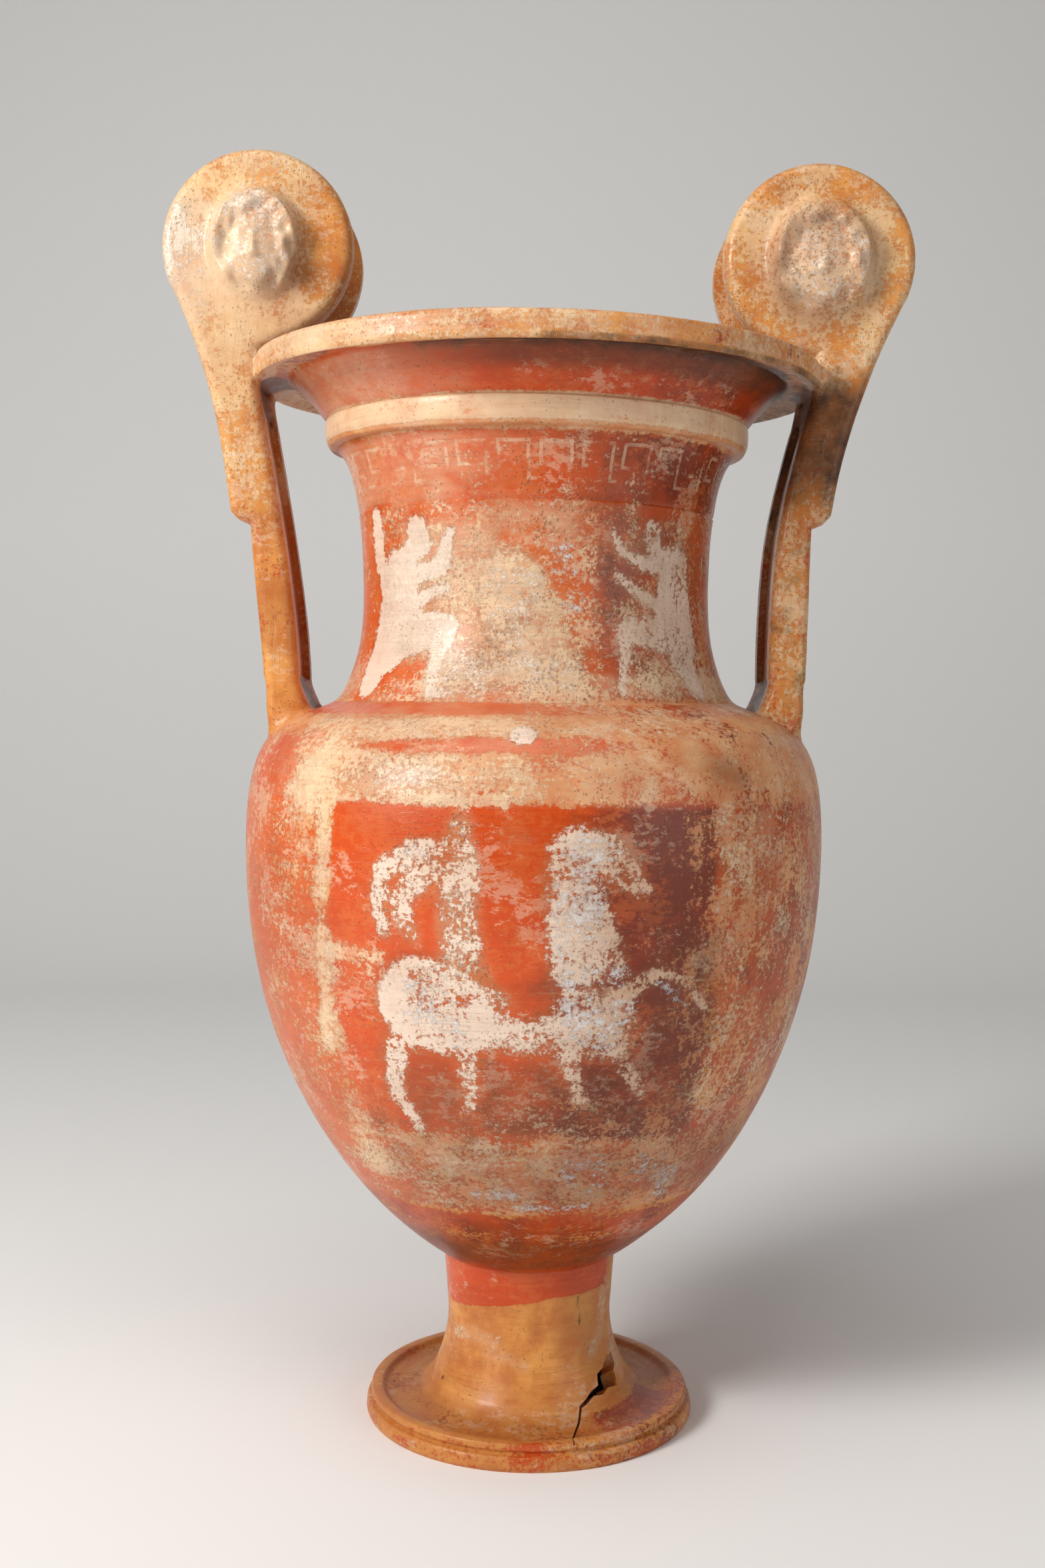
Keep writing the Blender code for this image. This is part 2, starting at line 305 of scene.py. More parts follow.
# %% Half section
groove_half_width = 0.0014
groove_depth = 0.0008


def foot_section():
    bead = foot_bead_height
    groove = foot_radius - foot_groove_depth
    corners = [
        Vector((foot_radius - 0.0010, 0.0)),
        Vector((foot_radius + 0.0004, 0.25 * bead)),
        Vector((foot_radius, 0.8 * bead)),
        Vector((foot_radius - 0.0010, bead + 0.0004)),
        Vector((groove, bead + 0.0010)),
        Vector((groove + 0.0004, bead + 0.0026)),
        Vector((foot_lip_radius + 0.0004, bead + 0.0036)),
        Vector((foot_lip_radius, foot_lip_height - 0.0002)),
        Vector((foot_lip_radius - 0.0040, foot_lip_height + 0.0002)),
        Vector((dish_radius, foot_lip_height)),
        Vector((dish_radius - 0.0030, foot_lip_height - 0.85 * dish_depth)),
        Vector((dish_radius - 0.0110, foot_lip_height - 1.05 * dish_depth)),
        Vector((stem_base_radius + 0.0120, foot_lip_height - 0.9 * dish_depth)),
        Vector((stem_base_radius + 0.0050, foot_lip_height - 0.0009)),
    ]
    return [Vector((foot_radius - foot_ring_width, 0.0))] + soften(corners, 2, 0.16)


def neck_section():
    """The neck with the incised line that closes the painted field above."""
    points = []
    for point in neck_curve(15, 18):
        if abs(point.y - neck_groove_height) > 2 * groove_half_width:
            points.append(point)
    above = next(index for index, point in enumerate(points) if point.y > neck_groove_height)
    radius = 0.5 * (points[above - 1].x + points[above].x)
    cut = [(-groove_half_width, 0.0), (0.0, -groove_depth), (groove_half_width, 0.0)]
    line = [Vector((radius + out, neck_groove_height + up)) for up, out in cut]
    return points[:above] + line + points[above:]


def ring_section():
    top = ring_base_height + ring_height
    corners = [
        Vector((ring_radius - 0.0072, ring_base_height + 0.0006)),
        Vector((ring_radius - 0.0022, ring_base_height + 0.0012)),
        Vector((ring_radius + 0.0004, ring_base_height + 0.35 * ring_height)),
        Vector((ring_radius + 0.0008, top - 0.0040)),
        Vector((ring_radius + 0.0006, top - 0.0004)),
        Vector((ring_radius - 0.0016, top + 0.0002)),
    ]
    return soften(corners, 2, 0.16)


def lip_section():
    base = mouth_height - lip_height
    corners = [
        Vector((flare_radius, flare_height)),
        Vector((0.5 * (flare_radius + lip_radius), flare_height + 0.0006)),
        Vector((lip_radius - 0.0030, base)),
        Vector((lip_radius + 0.0002, base)),
        Vector((lip_radius, 0.5 * (base + mouth_height))),
        Vector((lip_radius, mouth_height)),
        Vector((lip_radius - 0.0060, mouth_height)),
        Vector((lip_radius - lip_width, mouth_height - 0.0003)),
    ]
    return soften(corners, 2)


def stem_run(steps):
    """The stem above its waist, straight up to the body."""
    low = Vector((stem_radius, stem_waist_height))
    high = Vector((stem_radius + stem_top_flare, stem_top_height))
    return [low + (high - low) * step / steps for step in range(1, steps)]


def outer_section():
    points = foot_section() + stem_curve(16)[1:] + stem_run(14)
    points += body_curve(60) + shoulder_curve(26)[1:]
    return points + neck_section()[1:] + ring_section() + flare_curve(8)[1:] + lip_section()[1:]


def inner_section(share=1.0, fine=1.0):
    """Inside of the wall from the lip down to the bowl's floor, or a line part way into it."""
    floor = stem_top_height + share * bowl_floor
    throat = inset(neck_curve(int(7 * fine), int(7 * fine)) + flare_curve(4), share * neck_wall)
    low = body_curve(int(15 * fine))
    belly = inset(low[len(low) // 3:] + shoulder_curve(int(10 * fine))[1:-1], share * body_wall)
    start = belly[0]
    bottom = curve((0.0, floor), 0, 0.55 * start.x, start, 40, 0.30 * start.x, 6)
    return list(reversed(bottom[:-1] + belly + throat))


def under_section():
    """Hollow of the foot, from the stem's inner dome out to the resting ring."""
    dome = stem_top_height - dome_thickness
    bore = stem_radius - stem_wall
    corners = [
        Vector((0.0, dome)),
        Vector((0.60 * bore, dome - 0.0030)),
        Vector((0.93 * bore, dome - 0.0090)),
        Vector((bore, dome - 0.0160)),
    ]
    corners += list(reversed(inset(stem_curve(5), stem_wall)))
    corners += [
        Vector((stem_base_radius + 0.0030, foot_lip_height - dish_depth - 0.0060)),
        Vector((foot_radius - foot_ring_width - 0.0050, foot_lip_height - dish_depth - 0.0070)),
    ]
    return corners


outer_line = outer_section()
print("half section", len(outer_line), "points outside")

# %% [markdown]
# ## Turning it
# A line of vertices is spun about the axis. Where the picture will be painted the faces are
# divided once more, because the edges of the painted areas are stored on the vertices.

# %% Spin and kiln lean
picture_half_angle = 58.0
picture_low = 0.150
picture_high = 0.600


def azimuth(point):
    """Degrees from the front, growing to the viewer's right."""
    return math.degrees(math.atan2(point.x, -point.y))


def facing_out(face):
    centre = face.calc_center_median()
    return face.normal.x * centre.x + face.normal.y * centre.y > 0.2 * math.hypot(centre.x, centre.y)


def in_picture(face):
    centre = face.calc_center_median()
    if not picture_low < centre.z < picture_high:
        return False
    return abs(azimuth(centre)) < picture_half_angle and facing_out(face)


def by_handle_root(face):
    centre = face.calc_center_median()
    near = abs(centre.y) < 0.062 and abs(centre.x) > 0.115 and 0.420 < centre.z < 0.485
    return near and facing_out(face)


def turned(name, section, steps):
    bm = bmesh.new()
    line = [bm.verts.new((point.x, 0.0, point.y)) for point in section]
    edges = [bm.edges.new(pair) for pair in zip(line, line[1:])]
    bmesh.ops.spin(
        bm, geom=line + edges, cent=(0, 0, 0), axis=(0, 0, 1),
        angle=2 * math.pi, steps=steps, use_merge=True,
    )
    bmesh.ops.remove_doubles(bm, verts=bm.verts, dist=0.00002)
    bmesh.ops.recalc_face_normals(bm, faces=bm.faces)
    return bm, name


def finished(bm, name):
    """The kiln lean is a shear of everything above the neck's waist towards +X."""
    span = ring_base_height - neck_waist_height
    for vertex in bm.verts:
        share = min(max((vertex.co.z - neck_waist_height) / span, 0.0), 1.0)
        vertex.co.z -= share * vertex.co.x * math.tan(mouth_tilt)
    return keep(bm, name)


def make_vessel():
    bm, name = turned("krater", under_section() + outer_line + inner_section(), turn_steps)
    for wanted in (in_picture, by_handle_root):
        faces = [face for face in bm.faces if wanted(face)]
        edges = list({edge for face in faces for edge in face.edges})
        bmesh.ops.subdivide_edges(bm, edges=edges, cuts=1, use_grid_fill=True)
    return finished(bm, name)


vessel = make_vessel()
cavity_bm, cavity_name = turned("cavity_form", [Vector((0.0, mouth_height))] + inner_section(0.5), 96)
cavity = finished(cavity_bm, cavity_name)
print("vessel", len(vessel.data.vertices), "vertices")

# %% [markdown]
# ## Handles
# Each handle is a strap with a cheek along its front and its rear edge. Above the step the cheeks widen
# into flanges and end in discs. A cheek is its side outline, extruded and rounded at the rim, then cut
# by planes into small faces, so that the clay's unevenness can be pressed into it later.

# %% Handle sizes
handle_depth = 0.0800
cheek_thickness = 0.0160
cheek_rounding = 0.0068
disc_radius = 0.0592
disc_overhang = 0.0533
disc_rises = {"left": 0.0681, "right": 0.0623}
flange_step_drop = 0.0947
flange_step_width = 0.0120
handle_width_low = 0.0235
strap_recess_outside = 0.0070
strap_recess_inside = 0.0040
drum_recess = 0.0100
root_drop = 0.0060
sways = {"left": 0.0, "right": 0.0070}
sway_spread = 0.0750
sides = {"left": -1, "right": 1}
disc_x = lip_radius + disc_overhang - disc_radius
cut_spacing = 0.0060


def bump(value, middle, spread):
    return math.exp(-((value - middle) / spread) ** 2)


def handle_outline(label, outside=0.0, inside=0.0, around=0.0):
    """Side outline of a cheek, or with insets of the strap between the cheeks, as (x, z)."""
    disc_height = mouth_height + disc_rises[label]
    root = neck_base_height - root_drop
    radius = disc_radius - around
    inner_low = neck_base_radius + 0.0215
    inner_high = lip_radius - 0.0067
    outer_low = inner_low + handle_width_low
    step = mouth_height - flange_step_drop
    under_lip = mouth_height - lip_height + 0.0030
    tangent = math.radians(-21.0)
    points = [
        Vector((neck_base_radius + 0.0120 + inside, root - 0.0200)),
        Vector((neck_base_radius + 0.0380 - outside, root - 0.0320)),
    ]
    points += curve((outer_low - 0.0010 - outside, root), 97, 0.0185,
                    (inner_high + 0.0055 - outside, step - 0.0080), 86, 0.0560, 14)
    if outside == 0.0:
        points.append(Vector((inner_high + 0.0055 + 0.6 * flange_step_width, step - 0.0050)))
    flange_foot = (inner_high + 0.0055 + flange_step_width - outside, step + outside)
    flange_top = (disc_x + radius * math.cos(tangent), disc_height + radius * math.sin(tangent))
    points += curve(flange_foot, 78, 0.0170, flange_top, 63, 0.0690, 16)
    arc_steps = 64
    arc_end = math.radians(252.0)
    for turn in range(1, arc_steps + 1):
        angle = tangent + (arc_end - tangent) * turn / arc_steps
        points.append(Vector((disc_x + radius * math.cos(angle), disc_height + radius * math.sin(angle))))
    points.append(Vector((inner_high + inside, mouth_height + 0.0040)))
    points += curve((inner_high + inside, under_lip), 266, 0.0286,
                    (inner_low + inside, root + 0.0150), 269, 0.0700, 14)
    points.append(Vector((neck_base_radius + 0.0150 + inside, root + 0.0060)))
    for point in points:
        point.x -= sways[label] * bump(point.y, step, sway_spread)
    return points


print("cheek outline", len(handle_outline("left")), "corners")

# %% Cheeks and straps


def plane_cuts(bm, axis, low, high):
    count = int((high - low) / cut_spacing)
    for index in range(1, count):
        place = Vector((0.0, 0.0, 0.0))
        place[axis] = low + (high - low) * index / count
        square = Vector((0.0, 0.0, 0.0))
        square[axis] = 1.0
        geom = bm.verts[:] + bm.edges[:] + bm.faces[:]
        bmesh.ops.bisect_plane(bm, geom=geom, dist=0.0001, plane_co=place, plane_no=square)


def plate(name, outline, near, far, side, rounding=0.0):
    bm = bmesh.new()
    rim = [bm.verts.new((side * point.x, near, point.y)) for point in outline]
    face = bm.faces.new(rim)
    grown = bmesh.ops.extrude_face_region(bm, geom=[face])
    lifted = [item for item in grown["geom"] if isinstance(item, bmesh.types.BMVert)]
    bmesh.ops.translate(bm, verts=lifted, vec=(0.0, far - near, 0.0))
    if rounding > 0.0:
        edges = [e for e in bm.edges if all(abs(v.co.y - far) < 1e-7 for v in e.verts)]
        bmesh.ops.bevel(bm, geom=edges, offset=rounding, offset_type="OFFSET", affect="EDGES",
                        segments=5, profile=0.5, material=-1)
    across = [vertex.co.x for vertex in bm.verts]
    heights = [vertex.co.z for vertex in bm.verts]
    plane_cuts(bm, 0, min(across), max(across))
    plane_cuts(bm, 2, min(heights), max(heights))
    bmesh.ops.recalc_face_normals(bm, faces=bm.faces)
    return keep(bm, name)


def handle_forms(label):
    half = 0.5 * handle_depth
    inner = half - cheek_thickness
    side = sides[label]
    strap = handle_outline(label, strap_recess_outside, strap_recess_inside, drum_recess)
    forms = [plate(f"{label}_strap", strap, -inner - 0.004, inner + 0.004, side)]
    for word, way in (("front", -1), ("rear", 1)):
        cheek = handle_outline(label)
        forms.append(plate(f"{label}_{word}_cheek", cheek, way * inner, way * half, side, cheek_rounding))
    return forms


handle_parts = {label: handle_forms(label) for label in sides}
print("handle faces", sum(len(part.data.polygons) for parts in handle_parts.values() for part in parts))

# %% [markdown]
# ## Masks
# Each disc carries a mask in relief: a frontal head in a thick wreath of hair. The two at the back are
# a guess after the front ones. The head is a plain one of classical schoolbook proportions: eyes at
# half height, the nose's base half way from there to the chin, the mouth a third of the rest. A line
# from the middle to the rim is spun flat, and each vertex is then lifted by a height worked out from
# where it lies.

# %% Mask relief
mask_sizes = {"left": (0.0640, 0.0760), "right": (0.0720, 0.0800)}
mask_relief = 0.0185
mask_sink = 0.0030
mask_turn_steps = 84
mask_rings = 40
lock_count = 9


def smooth_step(low, high, value):
    t = min(max((value - low) / (high - low), 0.0), 1.0)
    return t * t * (3.0 - 2.0 * t)


def locks(across, up, turn, out):
    """Thick wavy locks over the brow and down to the jaw, pressed softly and never quite alike."""
    drift = 3.0 * noise.noise(Vector((1.7 * across, 1.7 * up, 4.0)))
    lumps = noise.noise(Vector((2.6 * across, 2.6 * up, 9.0)))
    knots = noise.noise(Vector((6.0 * across, 6.0 * up, 2.0)))
    waves = math.cos(lock_count * turn + 3.0 * out + drift)
    return 0.06 * waves + 0.20 * lumps + 0.15 * knots


def mask_height(across, up, turn, out):
    """Relief of the head; across and up run from -1 to 1, out is the share of the radius."""
    edge = 1.0 - smooth_step(0.78, 1.0, out)
    fall = smooth_step(-0.95, -0.25, up)
    hair = edge * (0.26 + 0.34 * fall + (0.3 + 0.7 * fall) * locks(across, up, turn, out))
    reach = (across / 0.50) ** 2 + ((up + 0.10) / 0.68) ** 2
    face = 0.40 + 0.36 * max(0.0, 1.0 - reach) ** 0.5
    bridge = smooth_step(0.26, -0.20, up) * smooth_step(-0.32, -0.24, up)
    face += 0.15 * bump(across, 0.0, 0.055 + 0.055 * smooth_step(0.2, -0.25, up)) * bridge
    for way in (-1, 1):
        face += 0.035 * bump(across, way * 0.22, 0.17) * bump(up, 0.20, 0.055)
        face -= 0.085 * bump(across, way * 0.20, 0.13) * bump(up, 0.09, 0.075)
        face += 0.060 * bump(across, way * 0.20, 0.085) * bump(up, 0.075, 0.045)
        face += 0.025 * bump(across, way * 0.24, 0.12) * bump(up, -0.22, 0.14)
        face += 0.030 * bump(across, way * 0.07, 0.040) * bump(up, -0.27, 0.040)
    face += 0.036 * bump(across, 0.0, 0.13) * bump(up, -0.385, 0.030)
    face += 0.040 * bump(across, 0.0, 0.11) * bump(up, -0.455, 0.035)
    face -= 0.030 * bump(across, 0.0, 0.13) * bump(up, -0.420, 0.012)
    face += 0.055 * bump(across, 0.0, 0.13) * bump(up, -0.62, 0.085)
    hairline = smooth_step(0.72, 1.06, reach + 0.10 * math.cos(7 * turn))
    return face + (hair - face) * hairline if face > hair else hair


def make_mask(label, word, way):
    width, height = mask_sizes[label]
    bm = bmesh.new()
    outs = [(index / mask_rings) ** 0.9 for index in range(mask_rings + 1)]
    line = [bm.verts.new((out, 0.0, 0.0)) for out in outs]
    edges = [bm.edges.new(pair) for pair in zip(line, line[1:])]
    bmesh.ops.spin(bm, geom=line + edges, cent=(0, 0, 0), axis=(0, 1, 0),
                   angle=2 * math.pi, steps=mask_turn_steps, use_merge=True)
    bmesh.ops.remove_doubles(bm, verts=bm.verts, dist=0.0001)
    rim = [edge for edge in bm.edges if edge.is_boundary]
    grown = bmesh.ops.extrude_edge_only(bm, edges=rim)["geom"]
    back = [item for item in grown if isinstance(item, bmesh.types.BMVert)]
    for vertex in bm.verts:
        across, up = vertex.co.x, vertex.co.z
        out = min(math.hypot(across, up), 1.0)
        vertex.co.y = -mask_relief * mask_height(across, up, math.atan2(up, across), out)
    for vertex in back:
        vertex.co.y = mask_sink
    bmesh.ops.holes_fill(bm, edges=[edge for edge in bm.edges if edge.is_boundary])
    bmesh.ops.scale(bm, verts=bm.verts, vec=(0.5 * width, 1.0, 0.5 * height))
    if way > 0:
        bmesh.ops.rotate(bm, verts=bm.verts, cent=(0, 0, 0), matrix=Matrix.Rotation(math.pi, 3, "Z"))
    centre = (sides[label] * disc_x, way * 0.5 * handle_depth, mouth_height + disc_rises[label])
    bmesh.ops.translate(bm, verts=bm.verts, vec=centre)
    bmesh.ops.recalc_face_normals(bm, faces=bm.faces)
    return keep(bm, f"{label}_{word}_mask")


masks = [make_mask(label, word, way) for label in sides for word, way in (("front", -1), ("rear", 1))]
print("masks", len(masks), "of", len(masks[0].data.polygons), "faces")

# %% [markdown]
# ## Joining
# On the wheel-thrown body the handles were luted on with wet clay, so in the fired vase all is one.
# Boolean unions do the same here. The forms are first trimmed inside the wall, so that nothing pokes
# into the bowl.

# %% Unions


def combine(target, other, operation):
    modifier = target.modifiers.new(other.name, "BOOLEAN")
    modifier.operation = operation
    modifier.solver = "MANIFOLD"
    modifier.object = other


def settle(target, operands):
    """Keeps the mesh that the modifiers give, and removes the shapes they used."""
    graph = bpy.context.evaluated_depsgraph_get()
    mesh = bpy.data.meshes.new_from_object(target.evaluated_get(graph))
    target.modifiers.clear()
    target.data = mesh
    for operand in operands:
        bpy.data.objects.remove(operand)


handle_list = [part for parts in handle_parts.values() for part in parts]
for part in handle_list:
    combine(part, cavity, "DIFFERENCE")
for part in handle_list + masks:
    combine(vessel, part, "UNION")
settle(vessel, handle_list + masks + [cavity])
print("joined", len(vessel.data.vertices), "vertices", len(vessel.data.polygons), "faces")

# %% [markdown]
# ## The lost shard
# Where the stem runs out into the dish a long shard has fallen out, and a hairline runs on from there
# over the foot's lip. The cutter is a ring of four vertices that is carried along the break and
# bridged to the next ring; its width swells and narrows along the way, and its edges are jagged.
# A smaller bite is missing where the left handle meets the underside of the lip.

# %% Break in the foot
break_path = (
    (70.0, 0.0545, 0.0405, 0.0010, 0.016),
    (67.0, 0.0556, 0.0378, 0.0058, 0.016),
    (63.0, 0.0567, 0.0346, 0.0118, 0.016),
    (58.0, 0.0583, 0.0312, 0.0132, 0.016),
    (52.0, 0.0601, 0.0280, 0.0106, 0.015),
    (46.0, 0.0611, 0.0262, 0.0052, 0.013),
    (40.0, 0.0622, 0.0248, 0.0030, 0.010),
    (35.0, 0.0635, 0.0232, 0.0022, 0.007),
    (30.0, 0.0655, 0.0205, 0.0018, 0.006),
    (25.5, 0.0720, 0.0150, 0.0014, 0.005),
    (21.0, 0.0810, 0.0128, 0.0010, 0.005),
    (17.5, 0.0890, 0.0125, 0.0010, 0.004),
    (16.0, 0.0965, 0.0168, 0.0009, 0.004),
    (15.2, 0.1030, 0.0150, 0.0007, 0.003),
)


def on_circle(degrees, radius, height):
    a = math.radians(degrees)
    return Vector((radius * math.sin(a), -radius * math.cos(a), height))


def make_break():
    bm = bmesh.new()
    centres = [on_circle(degrees, radius, height) for degrees, radius, height, _, _ in break_path]
    rings = []
    for index, (degrees, radius, height, width, depth) in enumerate(break_path):
        centre = centres[index]
        before = centres[max(index - 1, 0)]
        after = centres[min(index + 1, len(centres) - 1)]
        along = (after - before).normalized()
        out = (centre - Vector((0.0, 0.0, height))).normalized()
        out = (out + Vector((0.0, 0.0, 0.9))).normalized()
        side = along.cross(out).normalized()
        jag = 0.22 * width * (-1) ** index
        near = centre + jag * side + 0.004 * out
        far = centre + jag * side - depth * out
        half = 0.5 * width * side
        corners = [near - 1.3 * half, near + 1.3 * half, far + 0.7 * half, far - 0.7 * half]
        verts = [bm.verts.new(corner) for corner in corners]
        rings.append([bm.edges.new((verts[k], verts[(k + 1) % 4])) for k in range(4)])
    for first, last in zip(rings, rings[1:]):
        bmesh.ops.bridge_loops(bm, edges=first + last)
    bmesh.ops.holes_fill(bm, edges=[edge for edge in bm.edges if edge.is_boundary])
    bmesh.ops.triangulate(bm, faces=bm.faces)
    bmesh.ops.recalc_face_normals(bm, faces=bm.faces)
    return keep(bm, "break_form")


def make_chip(centre, sizes):
    """A bite with a broken surface."""
    bm = bmesh.new()
    bmesh.ops.create_icosphere(bm, subdivisions=2, radius=1.0)
    for vertex in bm.verts:
        vertex.co *= 1.0 + 0.35 * noise.noise(1.6 * vertex.co + 40.0 * Vector(centre))
    bmesh.ops.scale(bm, verts=bm.verts, vec=sizes)
    bmesh.ops.translate(bm, verts=bm.verts, vec=centre)
    return keep(bm, "chip_form")


lost = [make_break(), make_chip((-0.1715, -0.0405, 0.6565), (0.0054, 0.0068, 0.0064))]
for piece in lost:
    combine(vessel, piece, "DIFFERENCE")
settle(vessel, lost)
print("after the break", len(vessel.data.vertices), "vertices")

# %% [markdown]
# ## Wet clay
# The seams between body, handles, lip and masks were wiped over with a wet finger, so they are
# smoothed here and the rest stays crisp. Hands also leave everything a little uneven. The unevenness
# only presses inwards at the widest places, because the vase has to keep within its frame.

# %% Seams and unevenness
box_low = Vector(cad_box[0])
box_high = Vector(cad_box[1])
swell = 0.0007
ripple = 0.00016


def near_disc(point, reach):
    """Whether a point lies within a share of a mask's outline, on the disc's front or rear."""
    for label, side in sides.items():
        width, height = mask_sizes[label]
        across = (point.x - side * disc_x) / (0.5 * width)
        up = (point.z - mouth_height - disc_rises[label]) / (0.5 * height)
        if math.hypot(across, up) < reach and abs(point.y) > 0.5 * handle_depth - 0.0006:
            return True
    return False


def at_root(point):
    return abs(point.y) < 0.060 and 0.118 < abs(point.x) < 0.185 and 0.436 < point.z < 0.474


def at_lip_joint(point):
    return abs(point.y) < 0.050 and 0.150 < abs(point.x) < 0.186 and 0.640 < point.z < 0.678


def wipe(bm, chosen, rounds):
    for _ in range(rounds):
        bmesh.ops.smooth_vert(bm, verts=chosen, factor=0.5,
                              use_axis_x=True, use_axis_y=True, use_axis_z=True)


def wipe_seams(bm):
    for wanted, rounds in ((at_root, 14), (at_lip_joint, 4)):
        wipe(bm, [vertex for vertex in bm.verts if wanted(vertex.co)], rounds)
    rims = [v for v in bm.verts if near_disc(v.co, 1.25) and not near_disc(v.co, 0.80)]
    heads = [v for v in bm.verts if near_disc(v.co, 1.02)]
    wipe(bm, rims, 12)
    wipe(bm, heads, 4)


def press(bm):
    bm.normal_update()
    moves = []
    for vertex in bm.verts:
        spot = vertex.co
        amount = swell * noise.noise(9.0 * spot) + ripple * noise.noise(60.0 * spot)
        if spot.z < 0.0006:
            amount = 0.0
        moves.append(spot + amount * vertex.normal)
    for vertex, moved in zip(bm.verts, moves):
        for axis in range(3):
            moved[axis] = min(max(moved[axis], box_low[axis] + 1e-5), box_high[axis] - 1e-5)
        if vertex.co.z >= 0.0006:
            vertex.co = moved


bm = bmesh.new()
bm.from_mesh(vessel.data)
bmesh.ops.remove_doubles(bm, verts=bm.verts, dist=0.00003)
wipe_seams(bm)
press(bm)
bm.to_mesh(vessel.data)
bm.free()
vessel.data.update()
print("wiped", len(vessel.data.vertices), "vertices")

# %% [markdown]
# ## Where the slips lie
# Each painted thing is a brush stroke through a few places on the wall, given as the angle from the
# front in degrees, the height in mm and the brush's half width in mm. A vertex stores how deep it lies
# inside a stroke, as an amount that is one half on the stroke's edge. The material compares this with
# its own noise, which frays the edge and flakes the slip.

# %% Places on the wall
points = np.empty(3 * len(vessel.data.vertices))
vessel.data.vertices.foreach_get("co", points)
points = points.reshape(-1, 3) * 1000.0
east, north, height = points.T
count = len(points)

lean_span = ring_base_height - neck_waist_height
lean_share = np.clip((height / 1000.0 - neck_waist_height) / lean_span, 0.0, 1.0)
height = height + lean_share * east * math.tan(mouth_tilt)
reach = np.hypot(east, north)
angle = np.degrees(np.arctan2(east, -north))

wall_heights = np.array([1000.0 * p.y for p in outer_line if p.y > foot_lip_height + 0.001])
wall_radii = np.array([1000.0 * p.x for p in outer_line if p.y > foot_lip_height + 0.001])
wall_heights = np.maximum.accumulate(wall_heights + 1e-4 * np.arange(len(wall_heights)))
wall_travel = np.concatenate([[0.0], np.cumsum(np.hypot(np.diff(wall_heights), np.diff(wall_radii)))])
wall_radius = np.interp(height, wall_heights, wall_radii)
travel = np.interp(height, wall_heights, wall_travel)
off_wall = reach - wall_radius

mouth_mm = 1000.0 * mouth_height
on_handle = ((off_wall > 2.0) & (height > 440.0)) | (height > mouth_mm + 1.5)
inside = (off_wall < -4.0) & (height > 118.0) & ~on_handle
under = (off_wall < -6.0) & (height < 100.0) & (reach < 60.0)
on_wall = ~on_handle & ~inside & ~under
print("on the wall", int(on_wall.sum()), "handles", int(on_handle.sum()), "inside", int(inside.sum()))

# %% [markdown]
# ## Brushes
# A stroke is a row of round dabs from place to place, and a band is a field between two heights, as
# the turning wheel gives it. Both could be drawn into an image, but an amount on each vertex needs no
# unwrapping and follows the clay everywhere. A brush blends towards a value or only adds to it.

# %% Brush strokes and bands
amounts = {name: np.zeros(count) for name in
           ("red", "cream", "figure_and_highlight", "chalk", "ochre", "burnt_and_shade", "wear", "upright", "dull",
            "haze", "smoke_and_shade")}


def stroke(*places):
    """Depth in mm inside a stroke through (degrees, height, half width) places."""
    if len(places) == 1:
        places = places * 2
    here = np.stack([np.radians(angle) * wall_radius, travel])
    best = np.full(count, -99.0)
    for first, last in zip(places, places[1:]):
        start = np.stack([math.radians(first[0]) * wall_radius,
                          np.full(count, np.interp(first[1], wall_heights, wall_travel))])
        way = np.stack([math.radians(last[0] - first[0]) * wall_radius,
                        np.full(count, np.interp(last[1], wall_heights, wall_travel))])
        way[1] -= start[1]
        share = np.clip(((here - start) * way).sum(0) / np.maximum((way * way).sum(0), 1e-6), 0.0, 1.0)
        miss = np.hypot(*(here - start - share * way))
        best = np.maximum(best, first[2] + share * (last[2] - first[2]) - miss)
    return best


def band(low, high, left=-999.0, right=999.0):
    """Depth in mm inside a field between two heights and two angles."""
    start, end = np.interp((low, high), wall_heights, wall_travel)
    flat = np.minimum(travel - start, end - travel)
    sides_in = np.minimum(angle - left, right - angle)
    return np.minimum(flat, np.radians(sides_in) * wall_radius)


def lay(name, depth, soft, value=1.0, where=None):
    """Blends a value in where the depth is positive, over an edge as wide as twice the softness."""
    share = np.clip(0.5 + depth / (2.0 * soft), 0.0, 1.0)
    share = share * (on_wall if where is None else where)
    amounts[name] += (value - amounts[name]) * share


def pile(name, depth, soft, value=1.0):
    """Adds a stroke to what is there, and never takes away."""
    share = np.clip(0.5 + depth / (2.0 * soft), 0.0, 1.0) * on_wall
    amounts[name] = np.maximum(amounts[name], value * share)


def spread(*names):
    """Mean of each amount over all vertices."""
    return {name: round(float(amounts[name].mean()), 2) for name in names}


print("amounts", list(amounts))

# %% [markdown]
# ## Grounds
# On the real vase red slip, cream slip, ochre wash and bare clay lie side by side in broad fields, and
# age has drawn pale and smoky films over them. Each is a band or a few strokes, laid from the foot
# upwards. What is laid last wins, so broad things come first. The right side, away from the key light,
# is painted duller and browner than the left, partly its own tone and partly painted shade; this is one
# share that grows with the angle instead of many separate fields. The back isn't seen in the photo; it
# is a guess, and plainer.

# %% Grounds, from the foot up to the lip
everywhere = np.full(count, 99.0)
# right_side grows from the front to the right, away from the key light. It turns the streaks upright, and
# through dull it paints the right side browner and darker: partly the slips' own tone, partly painted
# shade.
right_side = np.clip((angle + 5.0) / 50.0, 0.0, 1.0) * (angle < 150.0)

lay("ochre", everywhere, 1.0, 0.22)
lay("wear", everywhere, 1.0, 0.6)
lay("dull", everywhere, 1.0, 0.10 + 0.45 * right_side)
lay("upright", everywhere, 1.0, right_side)

